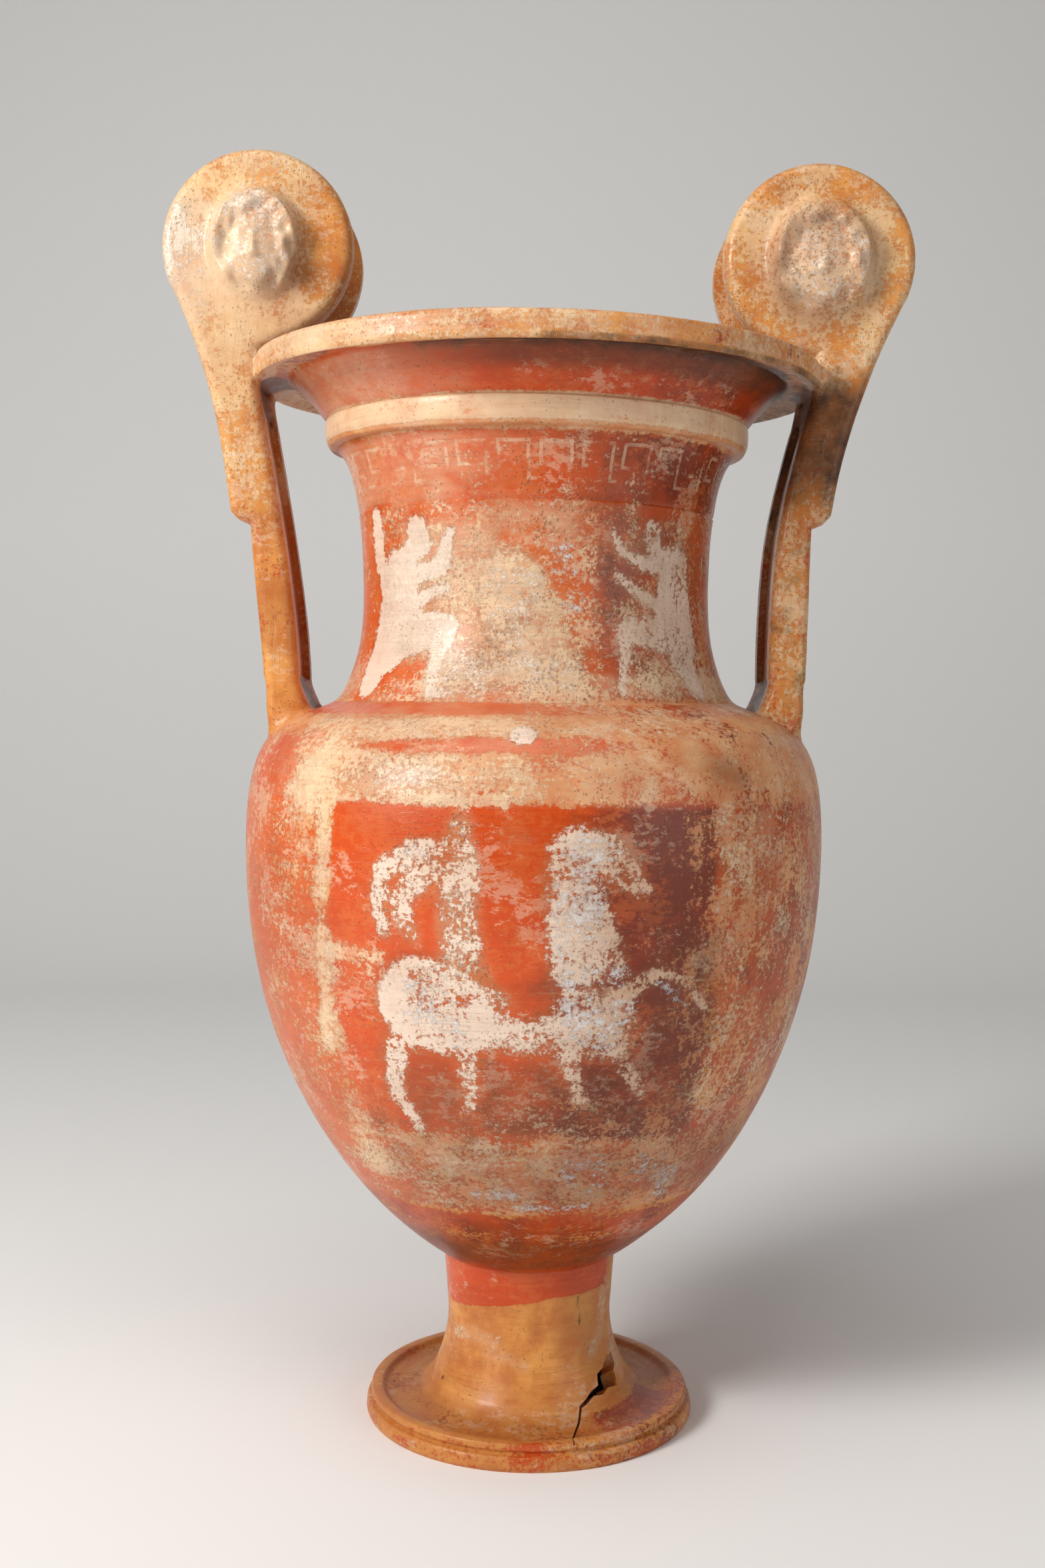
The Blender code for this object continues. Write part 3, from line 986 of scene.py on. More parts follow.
lay("ochre", 160.0 - height, 3.0, 1.0)
lay("wear", 160.0 - height, 3.0, 0.24)
lay("upright", 160.0 - height, 3.0, 0.0)
lay("red", band(104.0, 159.5), 4.0, 0.66)
lay("dull", band(104.0, 160.0), 5.0, 0.55)
lay("smoke_and_shade", band(106.0, 136.0, -70.0, 80.0), 9.0, 0.66)
# The stem's right half gets a smoky film and more dulling: partly its own tone, partly painted shade on
# the side away from the key light.
lay("smoke_and_shade", band(88.0, 106.0, 0.0, 180.0), 8.0, 0.20)
lay("dull", band(16.0, 86.0), 6.0, 0.10 + 0.4 * right_side)
lay("smoke_and_shade", band(20.0, 104.0, 22.0, 180.0), 14.0, 0.34)
slope = np.clip((angle + 60.0) / 80.0, 0.0, 1.0)
stem_band = np.minimum(height - (76.0 + 12.0 * slope), 108.0 - height)
lay("red", np.where(angle < 64.0, stem_band, -9.0), 1.6, 1.0)
lay("dull", band(76.0, 106.0), 4.0, 0.05 + 0.3 * right_side)
low_foot = height < 19.0
dish = np.where(low_foot, np.minimum(reach - 66.0, 95.0 - reach), -9.0)
lay("red", 18.0 - height, 2.0, 0.42)
lay("wear", 18.0 - height, 2.0, 0.30)
lay("smoke_and_shade", dish, 8.0, 0.92)
lay("red", dish, 4.0, 0.40)
lay("dull", dish, 4.0, 0.60)
lay("wear", dish, 4.0, 0.16)
lay("red", np.where((angle > 34.0) & (angle < 84.0), dish, -9.0), 5.0, 0.62)
lay("smoke_and_shade", band(9.0, 13.5), 1.4, 0.62)
lay("smoke_and_shade", band(20.0, 34.0), 8.0, 0.22)
lay("burnt_and_shade", stroke((-63.5, 27.0, 2.0)), 1.2, 1.0)
plaster = [
    stroke((-62.0, 57.0, 4.4), (-42.0, 61.0, 5.8), (-24.0, 59.5, 4.8)),
    stroke((-28.0, 51.0, 5.0), (-15.0, 49.5, 4.6), (-2.0, 45.0, 3.2)),
    stroke((60.0, 84.0, 5.0), (60.0, 60.0, 6.0), (46.0, 48.0, 5.0)),
    stroke((72.0, 44.0, 6.0), (76.0, 28.0, 6.0)),
    stroke((50.0, 33.0, 3.4), (38.0, 24.5, 2.6)),
]
for depth in plaster:
    lay("cream", depth, 2.0, 0.42)
    lay("haze", depth, 2.6, 0.34)
    lay("ochre", depth, 1.4, 0.70)
    lay("wear", depth, 2.0, 0.60)
lay("burnt_and_shade", stroke((34.4, 87.0, 0.5), (37.8, 62.0, 0.5), (43.0, 51.0, 0.6)), 0.9, 0.75)

lay("red", band(161.0, 452.0), 4.0, 0.60)
lay("cream", band(161.0, 452.0), 4.0, 0.34)
lay("wear", band(161.0, 452.0), 4.0, 0.66)
lay("cream", band(161.0, 212.0, -180.0, 40.0), 8.0, 0.43)
lay("red", band(161.0, 212.0, -60.0, 40.0), 8.0, 0.52)
lay("smoke_and_shade", band(161.0, 216.0, -40.0, 70.0), 14.0, 0.44)
lay("dull", band(161.0, 214.0, -25.0, 60.0), 10.0, 0.50)
lay("cream", band(404.0, 452.0, -56.0, 70.0), 6.0, 0.68 - 0.36 * np.clip((angle + 20.0) / 36.0, 0.0, 1.0))
lay("red", band(404.0, 462.0), 6.0, 0.34)
lay("wear", band(404.0, 462.0), 6.0, 0.52)
lay("haze", band(404.0, 462.0, -60.0, 24.0), 12.0, 0.34)
lay("red", band(166.0, 440.0, -180.0, -50.0), 16.0, 0.76)
lay("cream", band(166.0, 450.0, -180.0, -52.0), 16.0, 0.29)
# Painted highlight: bone-white figure paint where the key light glints on the left shoulder.
pile("figure_and_highlight", stroke((-40.0, 420.0, 10.0), (-20.0, 421.0, 12.0)), 9.0, 0.44)
lay("haze", band(190.0, 470.0, -180.0, -66.0), 14.0, 0.05)
lay("cream", band(403.0, 409.0, -40.0, -5.0), 2.0, 0.90)
lay("smoke_and_shade", stroke((40.0, 419.0, 9.0), (36.0, 424.0, 9.0)), 10.0, 0.62)
lay("smoke_and_shade", stroke((-34.0, 434.0, 2.0), (-12.0, 447.0, 2.0)), 5.0, 0.20)
lay("red", stroke((46.6, 391.0, 9.0)), 3.0, 0.85)
lay("haze", stroke((46.6, 391.0, 11.0)), 4.0, 0.45)
lay("red", stroke((56.0, 350.0, 7.0), (58.0, 335.0, 9.0)), 4.0, 0.80)

lay("red", band(462.0, 617.0), 3.0, 0.80)
lay("cream", band(462.0, 617.0), 3.0, 0.36)
lay("wear", band(462.0, 617.0), 3.0, 0.66)
lay("dull", band(462.0, 578.0), 3.0, 0.16 + 0.5 * right_side)
lay("red", band(465.0, 578.0, -60.0, 12.0), 10.0, 0.62)
lay("cream", band(465.0, 578.0, -60.0, 12.0), 12.0, 0.52)
lay("haze", band(465.0, 578.0, -48.0, 14.0), 9.0, 0.62)
lay("cream", band(465.0, 536.0, -32.0, 10.0), 10.0, 0.70)
lay("cream", band(462.0, 480.0), 6.0, 0.66)
lay("haze", band(462.0, 480.0), 6.0, 0.50)
lay("red", band(462.0, 484.0, -60.0, -34.0), 5.0, 0.90)
lay("haze", band(462.0, 484.0, -60.0, -34.0), 5.0, 0.10)
lay("cream", band(462.0, 484.0, -60.0, -34.0), 5.0, 0.34)
lay("red", band(566.0, 578.0, -60.0, -18.0), 4.0, 0.94)
lay("haze", band(566.0, 578.0, -60.0, -18.0), 4.0, 0.26)
lay("red", band(465.0, 617.0, -180.0, -58.0), 3.0, 0.95)
lay("ochre", band(465.0, 617.0, -180.0, -58.0), 3.0, 0.80)
lay("cream", band(476.0, 617.0, -180.0, -58.0), 3.0, 0.12)
lay("red", band(578.5, 616.0), 1.0, 0.92)
lay("cream", band(578.5, 616.0), 1.0, 0.24)
lay("haze", band(578.5, 616.0), 1.2, 0.50 * np.clip((8.0 - angle) / 40.0, 0.0, 1.0))
lay("dull", band(578.5, 616.0), 1.0, 0.20 + 0.66 * right_side)
lay("wear", band(578.5, 616.0), 1.0, 0.58)

lay("cream", band(620.6, 635.6), 0.7, 1.0)
lay("red", band(620.6, 635.6), 0.7, 0.30)
lay("haze", band(620.6, 635.6), 0.7, 0.45)
lay("wear", band(620.6, 635.6), 0.7, 0.34)
lay("dull", band(620.6, 635.6), 0.7, 0.30 * right_side)
lay("red", band(635.6, 660.0), 0.7, 0.96)
lay("cream", band(635.6, 660.0), 0.7, 0.10)
lay("haze", band(635.6, 660.0), 1.0, 0.60 * np.clip((-10.0 - angle) / 30.0, 0.0, 1.0))
lay("wear", band(635.6, 660.0), 0.7, 0.34)
lay("dull", band(635.6, 660.0), 0.7, 0.12 + 0.60 * right_side)
# Painted shadow of the lip: the flare's top and the lip's underside are painted darker, more so towards
# the right, partly dark brown paint and partly painted shade.
shaded = np.clip((angle + 42.0) / 34.0, 0.0, 1.0)
lay("smoke_and_shade", band(648.0, 662.0), 5.0, 0.80 * shaded)
soffit = np.where((height > 648.0) & (reach < 178.0), np.minimum(reach - 154.0, 664.0 - height), -9.0)
lay("red", soffit, 3.0, 0.80)
lay("smoke_and_shade", soffit, 3.0, 0.30 + 0.80 * shaded)
lay("burnt_and_shade", soffit, 3.0, 0.80 * shaded)
rim = np.where(height > 655.0, reach - 177.0, -9.0)
for name in ("burnt_and_shade", "smoke_and_shade"):
    lay(name, rim, 1.0, 0.0)
lay("red", rim, 1.0, 0.34)
lay("cream", rim, 1.0, 0.64 - 0.18 * np.clip((angle + 40.0) / 40.0, 0.0, 1.0))
lay("ochre", rim, 1.0, 0.55)
lay("haze", rim, 1.0, 0.30 - 0.26 * np.clip((angle + 40.0) / 60.0, 0.0, 1.0))
lay("wear", rim, 1.0, 0.32)
lay("dull", rim, 1.0, 0.10 + 0.6 * right_side)
lay("cream", height - 671.0, 0.8, 0.5)
crack = stroke((24.0, 661.0, 0.7), (23.5, 652.0, 0.7), (27.5, 637.0, 0.8))
lay("haze", crack, 0.9, 0.80)
print("grounds", spread("red", "cream", "haze", "smoke_and_shade"))

# %% [markdown]
# ## The picture field
# A red panel on the front of the body holds the picture, under a lens-shaped ornament on the shoulder.
# Its right part has darkened to a brown red, and a pale post with one branch stands at its left. The
# panel is a band between four borders, whose soft edge lets the material fray it.

# %% Shoulder ornament, panel and frame
fainter = 0.34 * np.clip((angle + 20.0) / 30.0, 0.0, 1.0)
lay("red", band(453.5, 460.0), 1.6, 0.94 - fainter)
lay("cream", band(453.5, 460.0), 1.6, 0.10 + fainter)
lens = stroke((-36.0, 435.0, 0.6), (-22.0, 436.5, 4.5), (6.0, 438.0, 6.0), (26.0, 434.5, 0.8))
fading_right = np.clip((angle + 4.0) / 22.0, 0.0, 1.0)
lay("red", lens, 2.0, 0.90 - 0.34 * fading_right)
lay("cream", lens, 2.0, 0.14 + 0.26 * fading_right)
pile("figure_and_highlight", stroke((-2.5, 443.0, 8.0)), 2.0, 0.9)

panel = band(213.0, 403.0, -39.0, 33.0)
lower = np.clip((270.0 - height) / 50.0, 0.0, 1.0)
lay("red", panel, 4.0, 0.97 - 0.14 * lower)
lay("cream", panel, 4.0, 0.16 + 0.14 * lower)
lay("wear", panel, 4.0, 0.40 + 0.26 * lower)
lay("dull", panel, 4.0, 0.06 + np.clip((angle + 3.0) / 22.0, 0.0, 0.95) + 0.40 * lower)
lay("upright", panel, 3.0, 0.0)
lay("haze", panel, 3.0, 0.0)
lay("smoke_and_shade", band(213.0, 266.0, -30.0, 33.0), 9.0, 0.52)
low_right = band(213.0, 336.0, 20.0, 36.0)
lay("red", low_right, 6.0, 0.86)
lay("cream", low_right, 6.0, 0.26)
lay("dull", low_right, 6.0, 0.90)
lay("smoke_and_shade", low_right, 7.0, 0.50)
lay("smoke_and_shade", band(330.0, 400.0, 16.0, 31.0), 8.0, 0.36)
lay("red", band(213.0, 403.0, 26.0, 37.0), 9.0, 0.60)
lay("upright", band(213.0, 403.0, 24.0, 37.0), 8.0, 1.0)
lay("wear", band(300.0, 403.0, -39.0, 20.0), 6.0, 0.28)
lay("cream", band(296.0, 312.0, -40.0, -25.0), 3.0, 0.46)
post = stroke((-40.0, 408.0, 5.5), (-42.5, 300.0, 5.0), (-44.5, 262.0, 4.5))
lay("cream", post, 3.5, 0.74)
lay("red", post, 3.5, 0.30)
lay("wear", post, 4.0, 0.62)
lay("cream", stroke((-41.0, 318.0, 8.5), (-29.0, 319.0, 6.0)), 4.0, 0.62)
lay("wear", stroke((-41.0, 318.0, 8.5), (-29.0, 319.0, 6.0)), 4.0, 0.66)
lay("cream", stroke((-47.8, 407.0, 15.0)), 7.0, 0.80)
lay("red", stroke((-47.8, 407.0, 15.0)), 7.0, 0.22)
lay("cream", stroke((-43.0, 188.0, 14.0)), 6.0, 0.80)
lay("ochre", stroke((35.0, 300.0, 4.0), (38.0, 232.0, 5.0)), 5.0, 0.95)
lay("cream", stroke((40.0, 372.0, 12.0), (42.0, 300.0, 12.0), (38.0, 240.0, 10.0)), 8.0, 0.44)

# %% [markdown]
# ## Horse and rider
# Both are pale silhouettes, worn thin. An outline could be filled, but strokes of changing width, one
# for each part of the body, are how a brush does it. Each part has its own fullness. A smoky edge sets
# the horse off from the panel, and chalky remains lie on it and below the panel.

# %% Horse and rider
horse = {
    "head": stroke((8.5, 384.0, 11.0), (12.0, 379.0, 12.5), (15.2, 369.0, 10.5), (18.4, 359.5, 7.0)),
    "neck": stroke((6.5, 377.0, 16.0), (7.6, 345.0, 20.0), (9.6, 315.0, 23.0)),
    "chest": stroke((10.0, 308.0, 24.0), (11.0, 286.0, 26.0)),
    "belly": stroke((-16.0, 283.0, 16.0), (-4.0, 275.0, 11.0), (7.0, 278.0, 14.0)),
    "rump": stroke((-20.5, 293.0, 28.0), (-15.0, 288.0, 27.0)),
    "hind left": stroke((-27.0, 268.0, 9.0), (-28.9, 239.0, 6.0), (-25.0, 215.0, 3.5)),
    "hind right": stroke((-13.0, 268.0, 9.0), (-12.2, 245.0, 6.5), (-13.2, 231.0, 5.0)),
    "fore left": stroke((6.5, 268.0, 9.0), (9.5, 238.0, 5.0)),
    "fore right": stroke((14.3, 275.0, 10.0), (18.4, 255.0, 6.5), (22.5, 239.0, 5.0)),
    "raised": stroke((15.1, 299.0, 8.0), (22.8, 312.0, 5.0), (28.0, 306.0, 4.0), (33.6, 289.0, 3.4)),
}
horse_fullness = {
    "head": 0.78, "neck": 0.66, "chest": 0.52, "belly": 0.66, "rump": 0.86, "raised": 0.84,
    "hind left": 0.70, "hind right": 0.76, "fore left": 0.74, "fore right": 0.74,
}
rider = {
    "head": stroke((-13.0, 392.0, 7.5)),
    "torso": stroke((-13.0, 377.0, 11.0), (-13.2, 345.0, 12.0), (-12.6, 316.0, 13.0)),
    "cloak": stroke((-15.3, 382.0, 6.0), (-21.5, 379.0, 7.0), (-27.4, 366.0, 6.0),
                    (-28.5, 347.0, 4.5), (-27.2, 332.0, 3.5)),
    "lining": stroke((-18.0, 372.0, 9.0), (-24.0, 352.0, 8.0), (-22.0, 332.0, 6.0)),
    "thigh": stroke((-11.0, 314.0, 7.0), (-6.0, 296.0, 6.0)),
}
rider_fullness = {"cloak": 0.76, "head": 0.70, "lining": 0.50}
haze_share = {"torso": 0.45, "head": 0.40, "lining": 0.25}
for part, depth in horse.items():
    pile("figure_and_highlight", depth, 4.0, horse_fullness.get(part, 0.80))
    lay("wear", depth, 6.0, 0.62)
for depth in horse.values():
    pile("smoke_and_shade", depth + 4.0, 5.0, 0.34)
for depth in horse.values():
    lay("smoke_and_shade", depth, 3.0, 0.0)
for part, depth in rider.items():
    pile("figure_and_highlight", depth, 4.5, rider_fullness.get(part, 0.60))
    lay("wear", depth, 6.0, 0.80)
    lay("haze", depth, 6.0, haze_share.get(part, 0.20))
pile("chalk", np.maximum(horse["neck"], horse["chest"]) - 3.0, 7.0, 0.44)
pile("chalk", horse["head"] - 2.0, 4.0, 0.46)
pile("chalk", horse["rump"] - 8.0, 8.0, 0.34)
pile("chalk", stroke((-15.3, 173.5, 6.0), (-5.1, 175.0, 6.0)), 4.0, 0.62)
pile("chalk", stroke((-4.3, 166.0, 3.5), (4.6, 165.0, 4.0), (15.5, 166.0, 3.0)), 3.0, 0.66)
pile("chalk", stroke((21.0, 309.0, 5.0), (31.0, 288.0, 4.0)), 3.0, 0.58)
pile("chalk", band(165.0, 200.0, 5.0, 40.0), 8.0, 0.38)
print("picture", spread("figure_and_highlight", "chalk"))

# %% [markdown]
# ## The neck's picture
# Two pale figures with raised arms face a painted head with red hair in the middle. The head is an
# oval with a plain face of even proportions, in thin smoky lines. The right figure is more worn than
# the left one, so it gets lower amounts and more wear.

# %% Figures and head on the neck
left_figure = [
    stroke((-39.6, 562.5, 8.5), (-38.8, 554.0, 8.5)),
    stroke((-42.6, 548.0, 8.0), (-48.0, 537.0, 16.0), (-49.0, 515.0, 20.0), (-52.0, 494.0, 18.0)),
    stroke((-44.4, 533.0, 7.0), (-31.0, 540.5, 5.0), (-27.1, 561.0, 2.4)),
    stroke((-42.5, 518.5, 6.0), (-29.4, 527.5, 3.6)),
    stroke((-46.0, 500.0, 15.0), (-30.0, 504.0, 11.0)),
    stroke((-27.5, 506.0, 6.5), (-30.8, 487.0, 5.5), (-30.5, 466.0, 4.0), (-26.5, 465.0, 3.0)),
    stroke((-55.0, 490.0, 14.0), (-57.0, 474.0, 11.0)),
    stroke((-60.0, 573.0, 6.0), (-60.0, 549.0, 7.0), (-54.0, 525.0, 7.0)),
]
right_figure = [
    stroke((37.6, 562.5, 8.0), (38.4, 554.0, 7.0)),
    stroke((42.0, 548.0, 7.0), (48.5, 543.0, 14.0), (48.5, 525.0, 17.0), (51.0, 500.0, 18.0)),
    stroke((43.0, 543.0, 7.0), (34.7, 543.0, 6.0), (27.0, 549.5, 4.6), (21.9, 565.0, 2.6)),
    stroke((44.0, 516.0, 6.0), (36.6, 521.0, 5.0), (28.4, 531.5, 4.0), (25.6, 535.0, 2.8)),
    stroke((46.0, 500.0, 14.0), (30.5, 504.0, 10.0)),
    stroke((29.0, 505.0, 6.5), (27.1, 487.5, 5.0), (24.0, 467.0, 3.6)),
    stroke((50.0, 487.0, 13.0), (53.0, 470.0, 8.0)),
]
for depth in left_figure:
    pile("figure_and_highlight", depth, 3.4, 0.98)
    lay("wear", depth, 4.0, 0.38)
    lay("dull", depth, 4.0, 0.05)
for depth in right_figure:
    pile("figure_and_highlight", depth, 3.4, 0.78)
    lay("wear", depth, 4.0, 0.52)
    lay("dull", depth, 4.0, 0.35)
hair = stroke((-8.0, 551.0, 8.0), (0.0, 555.0, 11.0), (7.0, 545.0, 12.0),
              (11.5, 522.0, 9.0), (12.0, 500.0, 6.0))
lay("haze", hair, 5.0, 0.06)
lay("cream", hair, 4.0, 0.40)
lay("red", hair, 4.0, 0.92)
lay("dull", hair, 4.0, 0.12)
lay("wear", hair, 4.0, 0.78)
pile("chalk", stroke((7.0, 548.0, 10.0), (10.5, 522.0, 11.0)), 5.0, 0.44)
head_turn = np.hypot(np.radians(angle + 8.0) * wall_radius / 19.0, (height - 521.0) / 31.0)
oval = 24.0 * (1.0 - head_turn)
pile("figure_and_highlight", oval, 5.0, 0.52)
pile("figure_and_highlight", band(462.0, 496.0, -30.0, 16.0), 9.0, 0.46)
lay("cream", oval, 3.0, 0.84)
lay("haze", oval, 3.0, 0.70)
lay("red", oval, 3.0, 0.30)
outline = 1.2 - 24.0 * np.abs(head_turn - 1.03)
lay("smoke_and_shade", np.where((angle < -4.0) & (height < 530.0), outline, -9.0), 1.6, 0.60)
features = [
    stroke((-13.6, 529.0, 0.5), (-10.0, 530.0, 0.5)),
    stroke((-6.0, 530.0, 0.5), (-2.4, 529.0, 0.5)),
    stroke((-12.8, 524.0, 0.6), (-10.6, 524.0, 0.6)),
    stroke((-5.4, 524.0, 0.6), (-3.2, 524.0, 0.6)),
    stroke((-9.0, 507.5, 0.5), (-7.0, 507.5, 0.5)),
    stroke((-10.0, 501.5, 0.5), (-6.0, 501.5, 0.5)),
]
for depth in features:
    lay("smoke_and_shade", depth, 1.1, 0.55)
lay("red", stroke((22.0, 560.0, 3.0), (22.0, 520.0, 4.0), (22.5, 478.0, 2.6)), 3.0, 1.0)
lay("cream", stroke((22.0, 560.0, 4.0), (22.0, 520.0, 5.0), (22.5, 478.0, 3.6)), 3.0, 0.08)
lay("haze", band(480.0, 577.0, 14.0, 70.0), 5.0, 0.10)
lay("smoke_and_shade", band(480.0, 572.0, 19.0, 34.0), 8.0, 0.34)
lay("dull", band(480.0, 577.0, 19.0, 180.0), 5.0, 0.55)
lay("cream", stroke((13.5, 545.0, 7.0), (15.0, 495.0, 9.0)), 6.0, 0.64)
for depth in right_figure:
    lay("smoke_and_shade", depth, 3.0, 0.0)
    lay("haze", depth, 3.0, 0.30)
print("neck", spread("figure_and_highlight", "red"))

# %% [markdown]
# ## Paint on the handles
# The handles are ochre below and paler towards the discs; the left disc's left half is whiter still,
# partly bone-white slip and partly a painted highlight. Degrees round the wall mean little here, so
# depths are worked out from the distance to the disc's centre, from places in the front view and from
# heights. The right handle is browner, with a dark stretch below its disc.

# %% Handles and discs
side_of = np.sign(east)
from_disc = np.full(count, 999.0)
for label, side in sides.items():
    centre_up = 1000.0 * (mouth_height + disc_rises[label])
    near = np.hypot(east - side * 1000.0 * disc_x, height - centre_up)
    from_disc = np.where(side_of == side, near, from_disc)
    around = np.degrees(np.arctan2(height - centre_up, east - side * 1000.0 * disc_x))
    disc_turn = around if label == "left" else np.where(side_of > 0, around, disc_turn)
left_handle = on_handle & (side_of < 0)
right_handle = on_handle & (side_of > 0)

for where in (left_handle, right_handle):
    lay("ochre", everywhere, 1.0, 1.0, where)
    lay("wear", everywhere, 1.0, 0.60, where)
    lay("upright", everywhere, 1.0, 0.8, where)
lay("cream", height - 570.0, 30.0, 0.60, left_handle)
lay("cream", height - 660.0, 30.0, 0.76, left_handle)
lay("haze", height - 640.0, 40.0, 0.42, left_handle)
lay("ochre", height - 682.0, 22.0, 0.66, left_handle)
lay("ochre", 34.0 - from_disc, 8.0, 0.20, left_handle)
lay("cream", 34.0 - from_disc, 8.0, 0.88, left_handle)
# The left half of the left disc is painted whiter: partly bone-white slip, partly a painted highlight on
# the side that faces the key light.
bone_and_highlight = 30.0 - np.hypot(east + 226.0, height - 730.0)
lay("ochre", bone_and_highlight, 16.0, 0.0, left_handle)
lay("cream", bone_and_highlight, 16.0, 0.96, left_handle)
lay("figure_and_highlight", bone_and_highlight, 16.0, 0.66, left_handle)
lay("figure_and_highlight", 32.0 - from_disc, 8.0, 0.50, left_handle)
outer_ring = 30.0 - np.abs(from_disc - 58.0)
crown = np.where(np.abs(disc_turn - 92.0) < 50.0, outer_ring, -99.0)
lay("ochre", crown, 12.0, 0.95, left_handle)
lay("cream", crown, 12.0, 0.66, left_handle)
lay("haze", crown, 12.0, 0.12, left_handle)
inner_side = np.where(np.abs(disc_turn) < 46.0, outer_ring, -99.0)
lay("ochre", inner_side, 12.0, 1.0, left_handle)
lay("cream", inner_side, 12.0, 0.50, left_handle)
lay("haze", inner_side, 12.0, 0.0, left_handle)
lay("smoke_and_shade", 12.0 - np.hypot(east + 150.0, height - 726.0), 14.0, 0.40, left_handle)
lay("wear", height - 640.0, 30.0, 0.56, left_handle)
lay("red", 600.0 - height, 20.0, 0.30, left_handle)
lay("smoke_and_shade", 545.0 - height, 18.0, 0.30, left_handle)
lay("smoke_and_shade", 8.0 - np.abs(height - 574.0), 10.0, 0.34, left_handle)
lay("smoke_and_shade", 9.0 - np.hypot(east + 172.0, height - 640.0), 12.0, 0.30, left_handle)
lay("smoke_and_shade", 484.0 - height, 12.0, 0.06, left_handle)
patch = 20.0 - np.hypot(east + 126.0, height - 744.0)
lay("cream", patch, 10.0, 0.36, left_handle)
lay("haze", patch, 10.0, 0.0, left_handle)
lay("ochre", patch, 10.0, 0.95, left_handle)
lay("smoke_and_shade", 9.0 - np.hypot(east + 140.0, height - 716.0), 9.0, 0.55, left_handle)
lay("ochre", 6.0 - np.abs(height - 790.0), 8.0, 0.55, left_handle)
lay("dull", everywhere, 1.0, 0.10, left_handle)

lay("cream", everywhere, 1.0, 0.56, right_handle)
lay("cream", 34.0 - from_disc, 12.0, 0.84, right_handle)
lay("figure_and_highlight", 34.0 - from_disc, 9.0, 0.44, right_handle)
lay("haze", 36.0 - from_disc, 12.0, 0.40, right_handle)
lay("ochre", 34.0 - from_disc, 12.0, 0.34, right_handle)
lay("wear", 120.0 - from_disc, 30.0, 0.66, right_handle)
lay("burnt_and_shade", everywhere, 1.0, 0.34, right_handle)
lay("burnt_and_shade", 68.0 - from_disc, 10.0, 0.12, right_handle)
dark = np.minimum(height - 590.0, 662.0 - height)
lay("burnt_and_shade", dark, 16.0, 0.60, right_handle)
lay("cream", dark, 16.0, 0.40, right_handle)
lay("smoke_and_shade", dark, 16.0, 0.75, right_handle)
lay("smoke_and_shade", 8.0 - np.abs(np.hypot(east - 178.0, height - 728.0) - 32.0), 6.0, 0.45, right_handle)
lay("red", 590.0 - height, 20.0, 0.36, right_handle)
lay("dull", everywhere, 1.0, 0.25, right_handle)
web = on_handle & (np.abs(north) < 23.0) & (from_disc > 55.0)
lay("red", everywhere, 1.0, 0.55, web)
lay("smoke_and_shade", everywhere, 1.0, 0.85, web)
lay("cream", everywhere, 1.0, 0.10, web)
print("handles", spread("ochre", "cream", "burnt_and_shade"))

# %% [markdown]
# ## Inside
# The photo doesn't show the bowl or the hollow foot, so their finish is a guess: plain, dusty clay,
# with red slip that ran over the mouth a little way down.

# %% Inside of the bowl and of the foot
lay("ochre", everywhere, 1.0, 0.55, inside | under)
lay("wear", everywhere, 1.0, 0.8, inside | under)
lay("red", height - 590.0, 20.0, 0.62, inside)
lay("dull", everywhere, 1.0, 0.8, inside | under)
lay("burnt_and_shade", everywhere, 1.0, 0.28, inside | under)
print("inside", spread("wear", "dull"))

# %% [markdown]
# ## Storing
# Nine amounts fit into the channels of three colour attributes, which saves lookups in the material.
# The two films are soft and have no worn edge, so they are plain values of their own.

# %% Store the amounts


def store(name, first, second, third):
    values = np.ones((count, 4), dtype=np.float32)
    for column, key in enumerate((first, second, third)):
        values[:, column] = np.clip(amounts[key], 0.0, 1.0)
    layer = vessel.data.color_attributes.new(name, "FLOAT_COLOR", "POINT")
    layer.data.foreach_set("color", values.ravel())


store("slips", "red", "cream", "figure_and_highlight")
store("remains", "chalk", "ochre", "burnt_and_shade")
store("state", "wear", "upright", "dull")
for film in ("haze", "smoke_and_shade"):
    layer = vessel.data.attributes.new(film, "FLOAT", "POINT")
    layer.data.foreach_set("value", np.clip(amounts[film], 0.0, 1.0).astype(np.float32))
print({key: round(float(value.mean()), 2) for key, value in amounts.items()})

# %% [markdown]
# ## Effects as node groups
# The groups read Object coordinates, in metres, so their noises have the size that is written here.
# The worn edge group is used for every slip, each time with its own shift, so that the slips don't
# flake in the same places. It adds noise to the stored amount and keeps what lies above one half.

# %% Helpers for node trees


